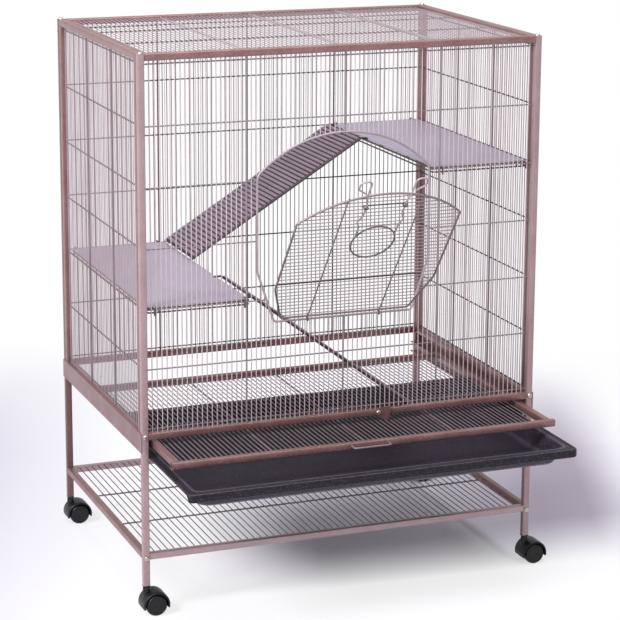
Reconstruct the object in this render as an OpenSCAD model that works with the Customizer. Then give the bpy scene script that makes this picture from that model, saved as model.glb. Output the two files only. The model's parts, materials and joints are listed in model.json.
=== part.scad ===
// Ferret cage on a wheeled stand.
// Millimetres. +Z is up, -Y is the front with the door, +X is to the right seen from the front.
// The origin is on the floor, under the middle of the four legs.

/* [Overall] */
// Width across the corner posts
body_w = 780; // [620:5:950]
// Depth across the corner posts
body_d = 540; // [440:5:660]
// Height of the top rails above the floor
body_h = 1031; // [940:1:1240]
// Side of the square steel tube
tube = 12.5; // [10:0.5:16]
// Wall of the square steel tube
tube_wall = 1.0; // [0.8:0.1:1.6]

/* [Levels] */
// Floor to the lower end of the legs
leg_z = 56; // [50:1:66]
// Floor to the underside of the storage shelf's rails
shelf_z = 105.5; // [80:0.5:140]
// Floor to the underside of the cage's bottom rails
base_z = 332.5; // [290:0.5:380]

/* [Wires] */
// Diameter of the fine wires
fine_wire = 2.2; // [1.6:0.1:2.6]
// Diameter of the wires that cross the fine ones
cross_wire = 2.6; // [2.0:0.1:3.2]
// Diameter of the stiffening wires
stiff_wire = 4.0; // [3.0:0.1:5.0]
// Nominal spacing of the fine wires
wire_pitch = 9.4; // [8:0.1:13]
// Nominal spacing of the shelf's wires
shelf_pitch = 13; // [10:0.5:20]
// Number of cross wires on each upright panel
row_count = 7; // [6:1:9]
// Distance of the outer cross wires from the rails
row_edge = 6.5; // [5:0.5:12]

/* [Door] */
// Width of the door opening, between the middles of the ring's wires
opening_w = 336; // [260:2:420]
// Height of the door opening, from the hinge wire to the top of the arch
opening_h = 342; // [290:2:390]
// Floor to the hinge wire
door_z = 530; // [480:1:590]
// Diameter of the ring and the door's rim
rim_wire = 4.0; // [3.4:0.1:5.0]
// Half the angle that the arch turns through
arch_turn = 43; // [36:0.5:46]
// Radius of the arch's shoulders
shoulder_r = 20; // [16:1:30]
// Height of the straight sides' lower ends above the hinge wire
slant_h = 95; // [60:1:120]
// How far the slanted feet come in at the hinge wire, each side
slant_in = 32; // [15:1:50]
// Gap between the ring and the door's rim at the sides
door_side_gap = 13; // [8:0.5:18]
// Gap between the ring and the door's rim at the top
door_top_gap = 6; // [5:0.5:12]
// Height of the door's lower rim above the hinge wire
door_foot_gap = 9; // [8:0.5:14]
// Angle that the door stands open at rest
door_angle = 37.5; // [0:0.5:60]
// Distance of the door's uprights from its middle
upright_x = 70; // [50:1:90]

/* [Door latch] */
// Diameter of the latch's wire
latch_wire = 3.2; // [2.6:0.1:4.0]
// Radius of the finger ring, to the middle of the wire
finger_r = 41; // [30:1:48]
// Distance from the hinge wire up to the finger ring's middle
finger_v = 214; // [180:1:225]
// Distance from the hinge wire up to the guide
guide_v = 306; // [290:1:312]
// Distance of the latch in front of the door's wires
latch_out = 5.0; // [4.6:0.1:7.0]
// How far the hooks rise above the opening's arch
hook_rise = 34.5; // [26:0.5:45]

/* [Floor grille] */
// How far the grille stands pulled out at rest
grille_out = 128; // [0:1:200]
// Height of the grille's tube frame above its ledge
slide_gap = 0.3; // [0.2:0.05:0.6]
// Width of the pull handle
handle_w = 72; // [50:1:120]
// Reach of the pull handle
handle_reach = 17; // [14:1:30]

/* [Litter tray] */
// How far the tray stands pulled out at rest
tray_out = 222; // [0:1:300]
// Depth of the tray, rim to underside
tray_h = 34; // [24:1:45]
// Wall of the tray
tray_wall = 2.6; // [2:0.1:4]
// Width of the tray's flange
flange_w = 18; // [14:1:26]
// Thickness of the tray's flange
flange_t = 4; // [3:0.5:6]
// Height of the lip along the tray's front
lip_h = 15; // [10:1:20]
// How far the tray's walls lean in
tray_lean = 12; // [4:1:20]

/* [Inside] */
// Width of each platform
deck_w = 192; // [150:2:230]
// Thickness of the platforms' and ramps' sheet
sheet_t = 1.2; // [0.8:0.1:2.0]
// Cross wire, counted from the top, that carries the upper platform
upper_row = 2; // [1:1:3]
// Cross wire, counted from the top, that carries the lower platform
lower_row = 4; // [3:1:5]
// Width of each ramp
ramp_w = 176; // [120:2:200]
// Spacing of the ramps' ribs
rib_pitch = 9.5; // [8:0.5:16]

/* [Casters] */
// Diameter of the wheels
wheel_d = 40; // [36:1:42]
// Width of one wheel
wheel_w = 15.6; // [12:0.2:18]
// Distance from the swivel's axis to the axle
trail = 15; // [12:1:18]

/* [Hidden] */

// Frame faces and levels
half_w = body_w / 2;
half_d = body_d / 2;
in_w = half_w - tube;
in_d = half_d - tube;
mid_w = half_w - tube / 2;
mid_d = half_d - tube / 2;
top_z = body_h - tube;
floor_z = base_z + tube;
panel_gap = 0.5;
joint_gap = 0.1;

// Bars of square section, with the same area as the round wire
round_to_square = sqrt(PI) / 2;
fine = fine_wire * round_to_square;
tie = cross_wire * round_to_square;
stiff = stiff_wire * round_to_square;
weld = 0.4;
weld_gap = 0.2;
wire_sides = 8;
bend_step = 12;
bend_sag = 0.15;

// Upright panels
panel_gaps = 4 * round(2 * in_w / wire_pitch / 4);
pitch = 2 * in_w / panel_gaps;
row_step = (top_z - floor_z - 2 * row_edge) / (row_count - 1);
side_in = in_d - panel_gap - tube;
side_gaps = 3 * round(2 * side_in / wire_pitch / 3);
side_pitch = 2 * side_in / side_gaps;

// Top panel
top_bar_w = 6;
top_bar_h = 8;
top_in_w = in_w - panel_gap - top_bar_w;
top_in_d = in_d - panel_gap - top_bar_w;

// Base channels
web_t = 1.5;
web_drop = 23.5;
ledge_t = 1.5;
ledge_drop = 17;
ledge_z = base_z - ledge_drop - slide_gap;
ledge_in = 24;
tray_ledge_w = 12;
flange_drop = 20;
tray_ledge_z = ledge_z - flange_drop;

// Floor grille
grille_end_gap = 3.5;
grille_half_w = in_w - grille_end_gap;
grille_side_inset = 5;
grille_len = 2 * in_d;
grille_z = ledge_z + slide_gap;
grille_front = -half_d - grille_out;
grille_back = grille_front + grille_len;
handle_wire = 4;
handle_bend_r = 5;
handle_lift = 0.6 * tube;
grid_rise = 0.8;
grille_top = grille_z + tube / 2 + grid_rise;

// Litter tray
tray_side_gap = 1;
tray_end_gap = 5;
tray_half_w = in_w - web_t - tray_side_gap;
tray_len = 2 * in_d - tray_end_gap;
tray_front = -half_d - tray_out;
flange_z = tray_ledge_z + slide_gap;
rim_z = flange_z + flange_t;
tray_corner_r = 12;
tray_body_r = 18;
lip_t = 3;
lip_wrap = 12;

// Door
arch_fit = 0.985;
arch_trim = 0.995;
shoulder_run = shoulder_r * tan((90 - arch_turn) / 2);
arch_r = arch_fit * (opening_w / 2 / cos(arch_turn) - shoulder_run) / tan(arch_turn);
door_plane = -mid_d;
hinge_x = (floor(upright_x / pitch) + 0.5) * pitch;
eye_wire = 3;
eye_gap = 0.08;
ring_corner_r = 8;
side_bend_r = 30;
side_bend_cut = side_bend_r * (1 / cos(atan(slant_in / slant_h) / 2) - 1);
hook_top = opening_h + hook_rise;
arm_x = 37;
arm_lean = 4.5;
fill_foot_gap = 5;
fill_first = door_foot_gap + rim_wire / 2 + fill_foot_gap;
fill_least = 12;
guide_z = fill_first + round((guide_v - fill_first) / pitch) * pitch;
staple_wire = 2.6;
staple_clear = 0.8;
eye_strap_gap = 0.4;
eye_strap_t = 2.2;
eye_strap_low = 3;
eye_strap_high = 6;

// Ring round the opening, and the zones of the front panel
ring_out = opening_w / 2 + rim_wire / 2;
ring_low = door_z - rim_wire / 2;
ring_foot = opening_w / 2 - slant_in;
ring_pin = ring_foot - ring_corner_r;
pin_lap = 1;
bend_section = 0.99 * rim_wire;
arch_rise = (1 - arch_trim) * arch_r * (1 / cos(arch_turn) - 1);
zone_edge = (ceil((ring_out + 1) / pitch - 0.5) + 0.5) * pitch;
slant_len = norm([slant_h, slant_in]);
slant_half_z = rim_wire / 2 * slant_len / slant_in;
slant_half_x = rim_wire / 2 * slant_len / slant_h + tie / 2 * slant_in / slant_h;

// Latch
latch_arm_rise = 17;
hook_w = 22;
hook_tip_in = 16;
hook_tip_drop = 30;
hook_side_drop = 19;

// Platforms
deck_rim_wire = 4;
deck_clear = 5.5;
deck_end_gap = 4.5;
deck_half_d = in_d - deck_end_gap;
deck_in = in_w - deck_clear;
deck_out = in_w - deck_clear - deck_w;
deck_rim_r = 6;
rim_sink = 0.4;
rim_drop = 7;
deck_low_wire = 3;
deck_bearer = 3;
deck_strut = 2.4;
strut_in = 20;
deck_hook_wire = 3;
deck_hook_gap = 0.15;
deck_hook_z = rim_sink + tie / 2 + deck_hook_wire / 2 + deck_hook_gap;
deck_hook_y = mid_d + deck_hook_wire / 2 + 2.7;
deck_hook_drop = 9;
deck_hook_out_x = 14;
deck_hook_in_x = 8;
sheet_margin = 1.8;
sheet_out = 1.5;
sheet_in = 1;
notch_w = 11;
notch_d = 9;
notch_lap = 1;

// Ramps
ramp_side_wire = 4;
hook_gap = 0.1;
rib_w = 6.4;
rib_h = 1.6;
ramp_margin = 8;
ramp_foot = 3;
ramp_rest = 0.3;
ramp_jog = 4;
ramp_tip_turn = 150;
ramp_tip_step = 15;
ramp_cross_wire = 3;
ramp_cross_top = 16;
ramp_cross_foot = 6;
ramp_sheet_x = 8;
ramp_sheet_end = 1;
rib_side = 2;
rib_start = 1;
rib_end = 3;
rib_sink = 0.2;
ramp_low_y = -deck_half_d + ramp_margin + ramp_w / 2;
ramp_high_y = deck_half_d - ramp_margin - ramp_w / 2;
ramp_hook_y = ramp_w / 2 - ramp_side_wire / 2;
deck_rise = (lower_row - upper_row) * row_step;
ramp_hook_r = deck_rim_wire / 2 + hook_gap + ramp_side_wire / 2;
upper_foot_x = 2 * deck_out + ramp_foot;
upper_foot_z = -deck_rise + deck_rim_wire / 2 + sheet_t + ramp_side_wire / 2 + ramp_rest;
ramp_run_z = ramp_hook_r + ramp_jog;
foot_reach = norm([upper_foot_x, upper_foot_z]);
run_lift = asin(ramp_run_z / foot_reach);
upper_tilt = atan2(-upper_foot_z, upper_foot_x) + run_lift;
ramp_len = sqrt(foot_reach * foot_reach - ramp_run_z * ramp_run_z);
lower_rim_z = top_z - row_edge - lower_row * row_step - rim_sink;
lower_foot_z = grille_top + ramp_side_wire / 2 + ramp_rest - lower_rim_z;
lower_tilt = asin(-lower_foot_z / foot_reach) + run_lift;

// Casters and fasteners
hood_gap = 2;
hood_t = 3.5;
rib_t = 8;
stem_d = 8;
stem_gap = 0.05;
axle_d = 5;
screw_head_d = 9.6;
screw_head_h = 3.4;
screw_d = 4;
screw_len = 7;
screw_recess_w = 1.1;
screw_recess_l = 4.8;
screw_recess_h = 1.3;
screw_low_z = shelf_z + 3;
screw_high_z = base_z + tube / 2;
top_screw_len = 3;
catch_screw_len = screw_len - 2;
plug_h = 14;
lip_plate = 2;
stem_low = wheel_d / 2 + 13;
stem_socket = 1;
stem_top_gap = 3;
boss_wall = 2.5;
boss_gap = 1.5;
boss_rise = 10;
hood_open = 6;
web_open = 9;
web_lap = 1;
wheel_gap = 0.2;
hood_side = 0.2;
axle_end_in = 3;
axle_gap = 0.05;
tread_edge = 1.5;
tread_round = 2.5;
disc_in = 5;
disc_slope = 0.6;
disc_t = 3;

// Catch that holds the floor grille
catch_x = 69;
catch_z = base_z + tube / 2;
catch_t = 2;
catch_disc_r = 7.5;
catch_face_gap = 0.2;
catch_end_x = 22;
catch_high = 11;
catch_lip = 5;
catch_clear = 0.8;
catch_bore_gap = 0.08;
catch_screw_gap = 0.1;

// ---------- functions ----------

// Height of a cross wire, counted from the top
function row_z(i) = top_z - row_edge - i * row_step;
function all_rows() = [for (i = [0 : row_count - 1]) row_z(i)];

// Middle of the gap between two fine wires that is nearest to x
function mid_gap(x) = (floor(x / pitch) + 0.5) * pitch;

function unit(v) = v / norm(v);

// Points along the rounding of corner b between a and c
function bend_points(a, b, c, r) =
  let (
    u = unit(a - b),
    v = unit(c - b),
    half = acos(u * v) / 2,
    m = b + unit(u + v) * r / sin(half),
    s = b + u * r / tan(half) - m,
    turn = (180 - 2 * half) * (cross(s, -u) > 0 ? 1 : -1),
    n = max(2, ceil(abs(turn) / min(bend_step, 2 * acos(1 - bend_sag / r))))
  ) [for (i = [0 : n]) m + turned(s, turn * i / n)];

function turned(p, a) = [p.x * cos(a) - p.y * sin(a), p.x * sin(a) + p.y * cos(a)];

// Points of a path whose corners are [x, y, radius]
function path_points(path, closed = false) =
  let (n = len(path), xy = [for (p = path) [p.x, p.y]])
  [
    for (i = [0 : n - 1])
      each path[i][2] > 0
        ? bend_points(xy[(i + n - 1) % n], xy[i], xy[(i + 1) % n], path[i][2])
        : [xy[i]]
  ];

function flat(points) = [for (p = points) [p.x, p.y, 0]];

// Outline of the ring or the door, as corners with radii, from the hinge wire up
function door_outline(side, top_gap, foot) =
  let (
    w = opening_w / 2 - side,
    r = arch_r - side,
    apex = opening_h - top_gap + r * (1 / cos(arch_turn) - 1),
    low = w - slant_in * (slant_h - foot) / slant_h
  ) [
    [low, foot, ring_corner_r], [w, slant_h, side_bend_r], [w, apex - w * tan(arch_turn), shoulder_r - side],
    [0, apex, r * arch_trim],
    [-w, apex - w * tan(arch_turn), shoulder_r - side], [-w, slant_h, side_bend_r],
    [-low, foot, ring_corner_r]
  ];

// Height of the outline's inner area above the hinge wire, at x
function arch_top(x, side, top_gap) =
  let (
    w = opening_w / 2 - side,
    r = arch_r - side,
    top = opening_h - top_gap,
    apex = top + r * (1 / cos(arch_turn) - 1),
    sr = shoulder_r - side,
    cy = apex - w * tan(arch_turn) - sr * tan((90 - arch_turn) / 2),
    turn_x = r * sin(arch_turn)
  ) abs(x) < turn_x
    ? top - r + sqrt(r * r - x * x)
    : cy + sqrt(max(0, sr * sr - pow(abs(x) - w + sr, 2)));

// Level above the door ring where a wire may start, at x
function ring_top(x) =
  door_z + arch_top(min(x, ring_out), -rim_wire / 2, -rim_wire / 2) + arch_rise + weld_gap;

// Height of the slanted foot above the hinge wire, at x
function slant_top(x) = slant_h * (abs(x) - opening_w / 2 + slant_in) / slant_in;

// ---------- shapes ----------

// A bar between two corners
module bar(a, b) {
  translate(a)
    cube(b - a);
}

// A hollow square tube along Z, its corner at the origin
module post_tube(h) {
  difference() {
    cube([tube, tube, h]);
    translate([tube_wall, tube_wall, -1])
      cube([tube - 2 * tube_wall, tube - 2 * tube_wall, h - 1]);
  }
}

// A hollow square tube along X, open at both ends
module tube_x(x0, x1, y, z) {
  difference() {
    bar([x0, y, z], [x1, y + tube, z + tube]);
    bar([x0 - 1, y + tube_wall, z + tube_wall], [x1 + 1, y + tube - tube_wall, z + tube - tube_wall]);
  }
}

// A hollow square tube along Y, open at both ends
module tube_y(y0, y1, x, z) {
  difference() {
    bar([x, y0, z], [x + tube, y1, z + tube]);
    bar([x + tube_wall, y0 - 1, z + tube_wall], [x + tube - tube_wall, y1 + 1, z + tube - tube_wall]);
  }
}

// A straight round rod between two points
module rod(p, q, d) {
  v = q - p;
  translate(p)
    rotate([0, acos(v.z / norm(v)), atan2(v.y, v.x)])
      cylinder(h = norm(v), d = d, $fn = 24);
}

// A wire along points that keep near the XY plane
module wire(points, d, closed = false) {
  n = len(points);
  faces_side = [
    for (i = [0 : closed ? n - 1 : n - 2], j = [0 : wire_sides - 1])
      let (
        i2 = (i + 1) % n,
        j2 = (j + 1) % wire_sides
      ) [i * wire_sides + j2, i2 * wire_sides + j2, i2 * wire_sides + j, i * wire_sides + j]
  ];
  rings = [
    for (i = [0 : n - 1])
      let (
        before = !closed && i == 0 ? points[1] - points[0] : points[i] - points[(i + n - 1) % n],
        after = !closed && i == n - 1 ? before : points[(i + 1) % n] - points[i],
        t = unit(unit(before) + unit(after)),
        side = unit(cross(t, [0, 0, 1])),
        up = cross(side, t),
        stretch = 1 / (unit(before) * t)
      )
      for (j = [0 : wire_sides - 1])
        points[i] + d / 2 * (cos(360 * j / wire_sides) * stretch * side + sin(360 * j / wire_sides) * up)
  ];
  caps = closed ? [] : [
    [for (j = [0 : wire_sides - 1]) wire_sides - 1 - j],
    [for (j = [0 : wire_sides - 1]) (n - 1) * wire_sides + j]
  ];
  polyhedron(rings, concat(faces_side, caps));
}

// A closed loop with rounded corners and an exact round section, its sides along X and Y
module round_loop(x0, x1, y0, y1, r, d) {
  for (cx = [0, 1], cy = [0, 1])
    translate([cx == 0 ? x0 + r : x1 - r, cy == 0 ? y0 + r : y1 - r, 0])
      rotate([0, 0, cx == 0 ? 180 - 90 * cy : 270 - 270 * cy])
        rotate_extrude(angle = 90, $fn = 96)
          translate([r, 0])
            circle(d = d, $fn = 24);
  for (y = [y0, y1])
    rod([x0 + r, y, 0], [x1 - r, y, 0], d);
  for (x = [x0, x1])
    rod([x, y0 + r, 0], [x, y1 - r, 0], d);
}

// A pan-head screw along -Z, its head's underside at the origin
module screw() {
  difference() {
    union() {
      rotate_extrude($fn = 48)
        polygon([
          [0, 0], [screw_head_d / 2, 0], [screw_head_d / 2, 0.3 * screw_head_h],
          [0.44 * screw_head_d, 0.62 * screw_head_h], [0.33 * screw_head_d, 0.87 * screw_head_h],
          [0.18 * screw_head_d, screw_head_h], [0, screw_head_h]
        ]);
      translate([0, 0, -screw_len])
        cylinder(h = screw_len, d = screw_d, $fn = 32);
    }
    for (a = [0, 90])
      rotate([0, 0, a])
        translate([-screw_recess_l / 2, -screw_recess_w / 2, screw_head_h - screw_recess_h])
          cube([screw_recess_l, screw_recess_w, screw_head_h]);
  }
}

// Places its child on the two screw heights of a leg's outer face
module on_leg_faces() {
  for (sx = [-1, 1], sy = [-1, 1], z = [screw_low_z, screw_high_z])
    translate([sx * mid_w, sy * half_d, z])
      rotate([sy < 0 ? 90 : -90, 0, 0])
        children();
}

// ---------- stand and frame ----------

module corner_post(sx, sy) {
  color("rosybrown")
    difference() {
      translate([sx < 0 ? -half_w : in_w, sy < 0 ? -half_d : in_d, leg_z])
        post_tube(body_h - leg_z);
      translate([sx * mid_w, sy * mid_d, body_h - top_screw_len])
        cylinder(h = 2 * top_screw_len, d = screw_d, $fn = 32);
      for (z = [screw_low_z, screw_high_z])
        translate([sx * mid_w, sy * half_d, z])
          rotate([sy < 0 ? -90 : 90, 0, 0])
            cylinder(h = screw_len, d = screw_d, $fn = 32);
    }
}

module front_rails() {
  color("rosybrown")
    difference() {
      for (z = [base_z, top_z])
        tube_x(-in_w, in_w, -half_d, z);
      translate([catch_x, -half_d - 1, catch_z])
        rotate([-90, 0, 0])
          cylinder(h = catch_screw_len, d = screw_d, $fn = 32);
    }
}

module back_rails() {
  color("rosybrown")
    for (z = [base_z, top_z])
      tube_x(-in_w, in_w, in_d, z);
}

module side_frame(sx) {
  x = sx < 0 ? -half_w : in_w;
  y1 = in_d - panel_gap;
  color("rosybrown") {
    for (z = [base_z, top_z])
      tube_y(-y1, y1, x, z);
    for (y = [-y1, y1 - tube])
      translate([x, y, floor_z])
        difference() {
          cube([tube, tube, top_z - floor_z]);
          translate([tube_wall, tube_wall, -1])
            cube([tube - 2 * tube_wall, tube - 2 * tube_wall, top_z - floor_z + 2]);
        }
  }
}

module top_frame() {
  x1 = in_w - panel_gap;
  y1 = in_d - panel_gap;
  color("rosybrown")
    difference() {
      bar([-x1, -y1, body_h - top_bar_h], [x1, y1, body_h]);
      bar([-top_in_w, -top_in_d, body_h - top_bar_h - 1], [top_in_w, top_in_d, body_h + 1]);
    }
}

// One side channel: an outer web, a ledge for the grille and a lower ledge for the tray
module base_channel(sx) {
  y1 = in_d - panel_gap;
  color("rosybrown")
    mirror([sx < 0 ? 1 : 0, 0, 0]) {
      bar([half_w, -half_d, base_z - web_drop], [half_w + web_t, half_d, floor_z]);
      bar([half_w - ledge_in, -y1, ledge_z - ledge_t], [half_w + web_t, y1, ledge_z]);
      bar([in_w - web_t, -y1, tray_ledge_z - ledge_t], [in_w, y1, ledge_z]);
      bar([in_w - tray_ledge_w, -y1, tray_ledge_z - ledge_t], [in_w, y1, tray_ledge_z]);
    }
}

module shelf_rails() {
  color("rosybrown") {
    for (y = [-half_d, in_d])
      tube_x(-in_w, in_w, y, shelf_z);
    for (x = [-half_w, in_w])
      tube_y(-in_d, in_d, x, shelf_z);
  }
}

// ---------- wire grids ----------

// Upright bars at the listed positions, in the XZ plane, behind them the cross bars
module panel_bars(columns, rows, x0, x1) {
  for (c = columns)
    bar([c[0] - c[3] / 2, -c[3] / 2, c[1]], [c[0] + c[3] / 2, c[3] / 2, c[2]]);
  for (r = rows)
    bar([x0, fine / 2 - weld, r - tie / 2], [x1, fine / 2 - weld + tie, r + tie / 2]);
}

// Thickness of the bar in a front or back column
function column_bar(k) = k % (panel_gaps / 4) == 0 ? stiff : fine;

module back_grid() {
  color("rosybrown")
    translate([0, mid_d, 0])
      mirror([0, 1, 0])
        panel_bars(
          [for (k = [1 - panel_gaps / 2 : panel_gaps / 2 - 1]) [k * pitch, floor_z, top_z, column_bar(k)]],
          all_rows(), -in_w, in_w);
}

module side_grid(sx) {
  color("rosybrown")
    translate([sx * mid_w, 0, 0])
      rotate([0, 0, sx < 0 ? -90 : 90])
        panel_bars(
          [
            for (k = [1 : side_gaps - 1])
              [k * side_pitch - side_in, floor_z, top_z, k % (side_gaps / 3) == 0 ? stiff : fine]
          ],
          all_rows(), -side_in, side_in);
}

module top_grid() {
  gaps = 4 * round(2 * top_in_w / wire_pitch / 4);
  step = 2 * top_in_w / gaps;
  z = body_h - top_bar_h / 2;
  color("rosybrown") {
    for (k = [1 - gaps / 2 : gaps / 2 - 1]) {
      s = k % (gaps / 4) == 0 ? stiff : fine;
      bar([k * step - s / 2, -top_in_d, z - s / 2], [k * step + s / 2, top_in_d, z + s / 2]);
    }
    for (y = [-top_in_d / 3, top_in_d / 3])
      bar([-top_in_w, y - tie / 2, z - fine / 2 + weld - tie], [top_in_w, y + tie / 2, z - fine / 2 + weld]);
  }
}

module shelf_grid() {
  gaps = 2 * round(2 * in_w / shelf_pitch / 2);
  step = 2 * in_w / gaps;
  z = shelf_z + tube - 3;
  color("rosybrown") {
    for (k = [1 - gaps / 2 : gaps / 2 - 1])
      bar([k * step - fine / 2, -in_d, z - fine / 2], [k * step + fine / 2, in_d, z + fine / 2]);
    for (y = [-in_d / 3, in_d / 3])
      bar([-in_w, y - stiff / 2, z - fine / 2 + weld - stiff], [in_w, y + stiff / 2, z - fine / 2 + weld]);
  }
}

// Columns whose middle lies between two distances from the door's middle
function columns_between(a, b) =
  [for (k = [1 - panel_gaps / 2 : panel_gaps / 2 - 1]) if (abs(k * pitch) >= a && abs(k * pitch) < b) k];

// Whether a cross wire passes the height of the door ring, or of its slanted foot
function beside_ring(z) = z > ring_low - tie && z < door_z + opening_h + rim_wire;
function beside_slant(z) = z > ring_low - tie && z < door_z + slant_h;

module front_grid_side(sx) {
  color("rosybrown")
    translate([0, door_plane, 0])
      mirror([sx < 0 ? 1 : 0, 0, 0]) {
        panel_bars(
          [for (k = columns_between(zone_edge, in_w)) if (k > 0) [k * pitch, floor_z, top_z, column_bar(k)]],
          [], 0, 0);
        for (z = all_rows())
          panel_bars([], [z], beside_ring(z) && !beside_slant(z) ? ring_out : zone_edge, in_w);
      }
}

module front_grid_above() {
  color("rosybrown")
    translate([0, door_plane, 0])
      panel_bars(
        [
          for (k = columns_between(0, zone_edge))
            [k * pitch, ring_top(max(0, abs(k * pitch) - column_bar(k) / 2)), top_z, column_bar(k)]
        ],
        [for (z = all_rows()) if (z > door_z + opening_h + rim_wire) z],
        -zone_edge, zone_edge);
}

module front_grid_below() {
  color("rosybrown")
    translate([0, door_plane, 0])
      panel_bars(
        [for (k = columns_between(0, zone_edge)) [k * pitch, floor_z, ring_low, column_bar(k)]],
        [for (z = all_rows()) if (z < ring_low - tie) z],
        -zone_edge, zone_edge);
}

// Short wires between the level of the hinge wire and the ring's slanted feet
module front_corner_wires() {
  color("rosybrown")
    translate([0, door_plane, 0])
      for (sx = [-1, 1])
        mirror([sx < 0 ? 1 : 0, 0, 0]) {
          for (k = columns_between(ring_foot + ring_corner_r, zone_edge)) {
            top = slant_top(k * pitch - fine / 2) - slant_half_z - weld_gap;
            if (k > 0 && top > rim_wire)
              panel_bars([[k * pitch, ring_low, door_z + min(top, slant_h - rim_wire), fine]], [], 0, 0);
          }
          for (z = all_rows())
            if (beside_slant(z)) {
              x = ring_foot + slant_in * (z - door_z) / slant_h + slant_half_x + weld_gap;
              panel_bars([], [z], x, zone_edge);
            }
        }
}

// ---------- door ----------

// The ring round the opening: its level lower run is the door's hinge pin
module door_ring() {
  color("rosybrown")
    translate([0, door_plane, door_z]) {
      rotate([90, 0, 0])
        wire(flat(path_points(concat(
          [[pin_lap - ring_pin, 0, 0]], [for (i = [6 : -1 : 0]) door_outline(0, 0, 0)[i]],
          [[ring_pin - pin_lap, 0, 0]]
        ))), bend_section);
      rod([-ring_pin, 0, 0], [ring_pin, 0, 0], rim_wire);
    }
}

// Places its child in the door's own upright frame
module on_door() {
  translate([0, door_plane, door_z])
    rotate([door_angle, 0, 0])
      children();
}

module door_rim() {
  color("rosybrown")
    on_door()
      rotate([90, 0, 0])
        wire(flat(path_points(door_outline(door_side_gap, door_top_gap, door_foot_gap), closed = true)),
          rim_wire, closed = true);
}

// The door's fill: level bars, two uprights with hinge eyes, and the latch's guide with staples
module door_grid() {
  arch = arch_top(hinge_x + fine, door_side_gap, door_top_gap);
  eye_r = rim_wire / 2 + eye_gap + eye_wire / 2;
  strap_y = rim_wire / 2 + eye_strap_gap;
  foot_top = door_foot_gap + rim_wire / 2;
  color("rosybrown")
    on_door() {
      for (i = [0 : floor((opening_h - door_top_gap - rim_wire - fill_first) / pitch)]) {
        v = fill_first + i * pitch;
        half = min(door_half(v - fine), door_half(v + fine));
        if (half > fill_least)
          bar([-half, -fine / 2, v - fine / 2], [half, fine / 2, v + fine / 2]);
      }
      for (sx = [-1, 1]) {
        bar([sx * hinge_x - tie / 2, fine / 2 - weld, door_foot_gap + rim_wire / 2],
          [sx * hinge_x + tie / 2, fine / 2 - weld + tie, arch - rim_wire / 2 - weld_gap]);
        translate([sx * hinge_x, 0, 0])
          rotate([0, 90, 0])
            difference() {
              cylinder(h = eye_wire, r = eye_r + eye_wire / 2, center = true, $fn = 48);
              cylinder(h = eye_wire + 2, r = rim_wire / 2 + eye_gap, center = true, $fn = 48);
            }
        bar([sx * hinge_x - eye_wire / 2, strap_y, eye_strap_low],
          [sx * hinge_x + eye_wire / 2, strap_y + eye_strap_t, foot_top + eye_strap_high]);
        bar([sx * hinge_x - tie / 2, fine / 2, foot_top + 1],
          [sx * hinge_x + tie / 2, strap_y + weld, foot_top + eye_strap_high - 1]);
      }
      latch_guide();
    }
}

// Half the width that the door's rim leaves at a height
function door_half(v) =
  let (
    w = opening_w / 2 - door_side_gap,
    r = arch_r - door_side_gap,
    top = opening_h - door_top_gap,
    apex = top + r * (1 / cos(arch_turn) - 1),
    sr = shoulder_r - door_side_gap,
    cy = apex - w * tan(arch_turn) - sr * tan((90 - arch_turn) / 2),
    turn_y = top - r + r * cos(arch_turn),
    low = w - slant_in * (slant_h - v) / slant_h
  ) (v > turn_y ? sqrt(max(0, r * r - pow(v - top + r, 2)))
    : v > cy ? w - sr + sqrt(max(0, sr * sr - pow(v - cy, 2)))
    : v > slant_h ? w : low) - (v < 2 * slant_h ? side_bend_cut : 0) - rim_wire / 2 - weld_gap;

// A bar behind the latch's arms with a staple in front of each arm
module latch_guide() {
  r = latch_wire / 2 + staple_clear + staple_wire / 2;
  z = guide_z;
  reach = arm_x + r;
  rod([-reach, 0, z], [reach, 0, z], staple_wire);
  for (sx = [-1, 1])
    translate([sx * arm_x, 0, z]) {
      for (dx = [-r, r])
        rod([dx, 0, 0], [dx, -latch_out, 0], staple_wire);
      translate([0, -latch_out, 0])
        rotate([0, 0, 180])
          rotate_extrude(angle = 180, $fn = 48)
            translate([r, 0])
              circle(d = staple_wire, $fn = 24);
    }
}

// Finger ring with two arms that end in hooks above the door
module door_latch() {
  foot_x = sqrt(finger_r * finger_r - latch_arm_rise * latch_arm_rise);
  hook_x = arm_x + arm_lean;
  color("rosybrown")
    on_door()
      translate([0, -latch_out, 0])
        rotate([90, 0, 0]) {
          wire([for (a = [6 : 12 : 354]) [finger_r * cos(a), finger_v + finger_r * sin(a), 0]],
            latch_wire, closed = true);
          for (sx = [-1, 1])
            mirror([sx < 0 ? 1 : 0, 0, 0])
              wire(flat(path_points([
                [foot_x, finger_v + latch_arm_rise, 0],
                [foot_x + 0.6, guide_z - 50, 4],
                [arm_x + 7, guide_z - 37, 4],
                [arm_x, guide_z - 22, 5],
                [arm_x, guide_z + 9, 12],
                [hook_x, guide_z + 30, 12],
                [hook_x, hook_top, 8],
                [hook_x + hook_w, hook_top, 9],
                [hook_x + hook_w - 1, hook_top - hook_side_drop, 6],
                [hook_x + hook_w - hook_tip_in, hook_top - hook_tip_drop, 0]
              ])), latch_wire);
        }
}

// ---------- floor grille, tray and turn latch ----------

module grille_frame() {
  side_x = grille_half_w - grille_side_inset;
  color("rosybrown") {
    tube_x(-grille_half_w, grille_half_w, grille_front, grille_z);
    tube_x(-side_x, side_x, grille_back - tube, grille_z);
    for (x = [-side_x, side_x - tube])
      tube_y(grille_front + tube, grille_back - tube, x, grille_z);
  }
}

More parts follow.
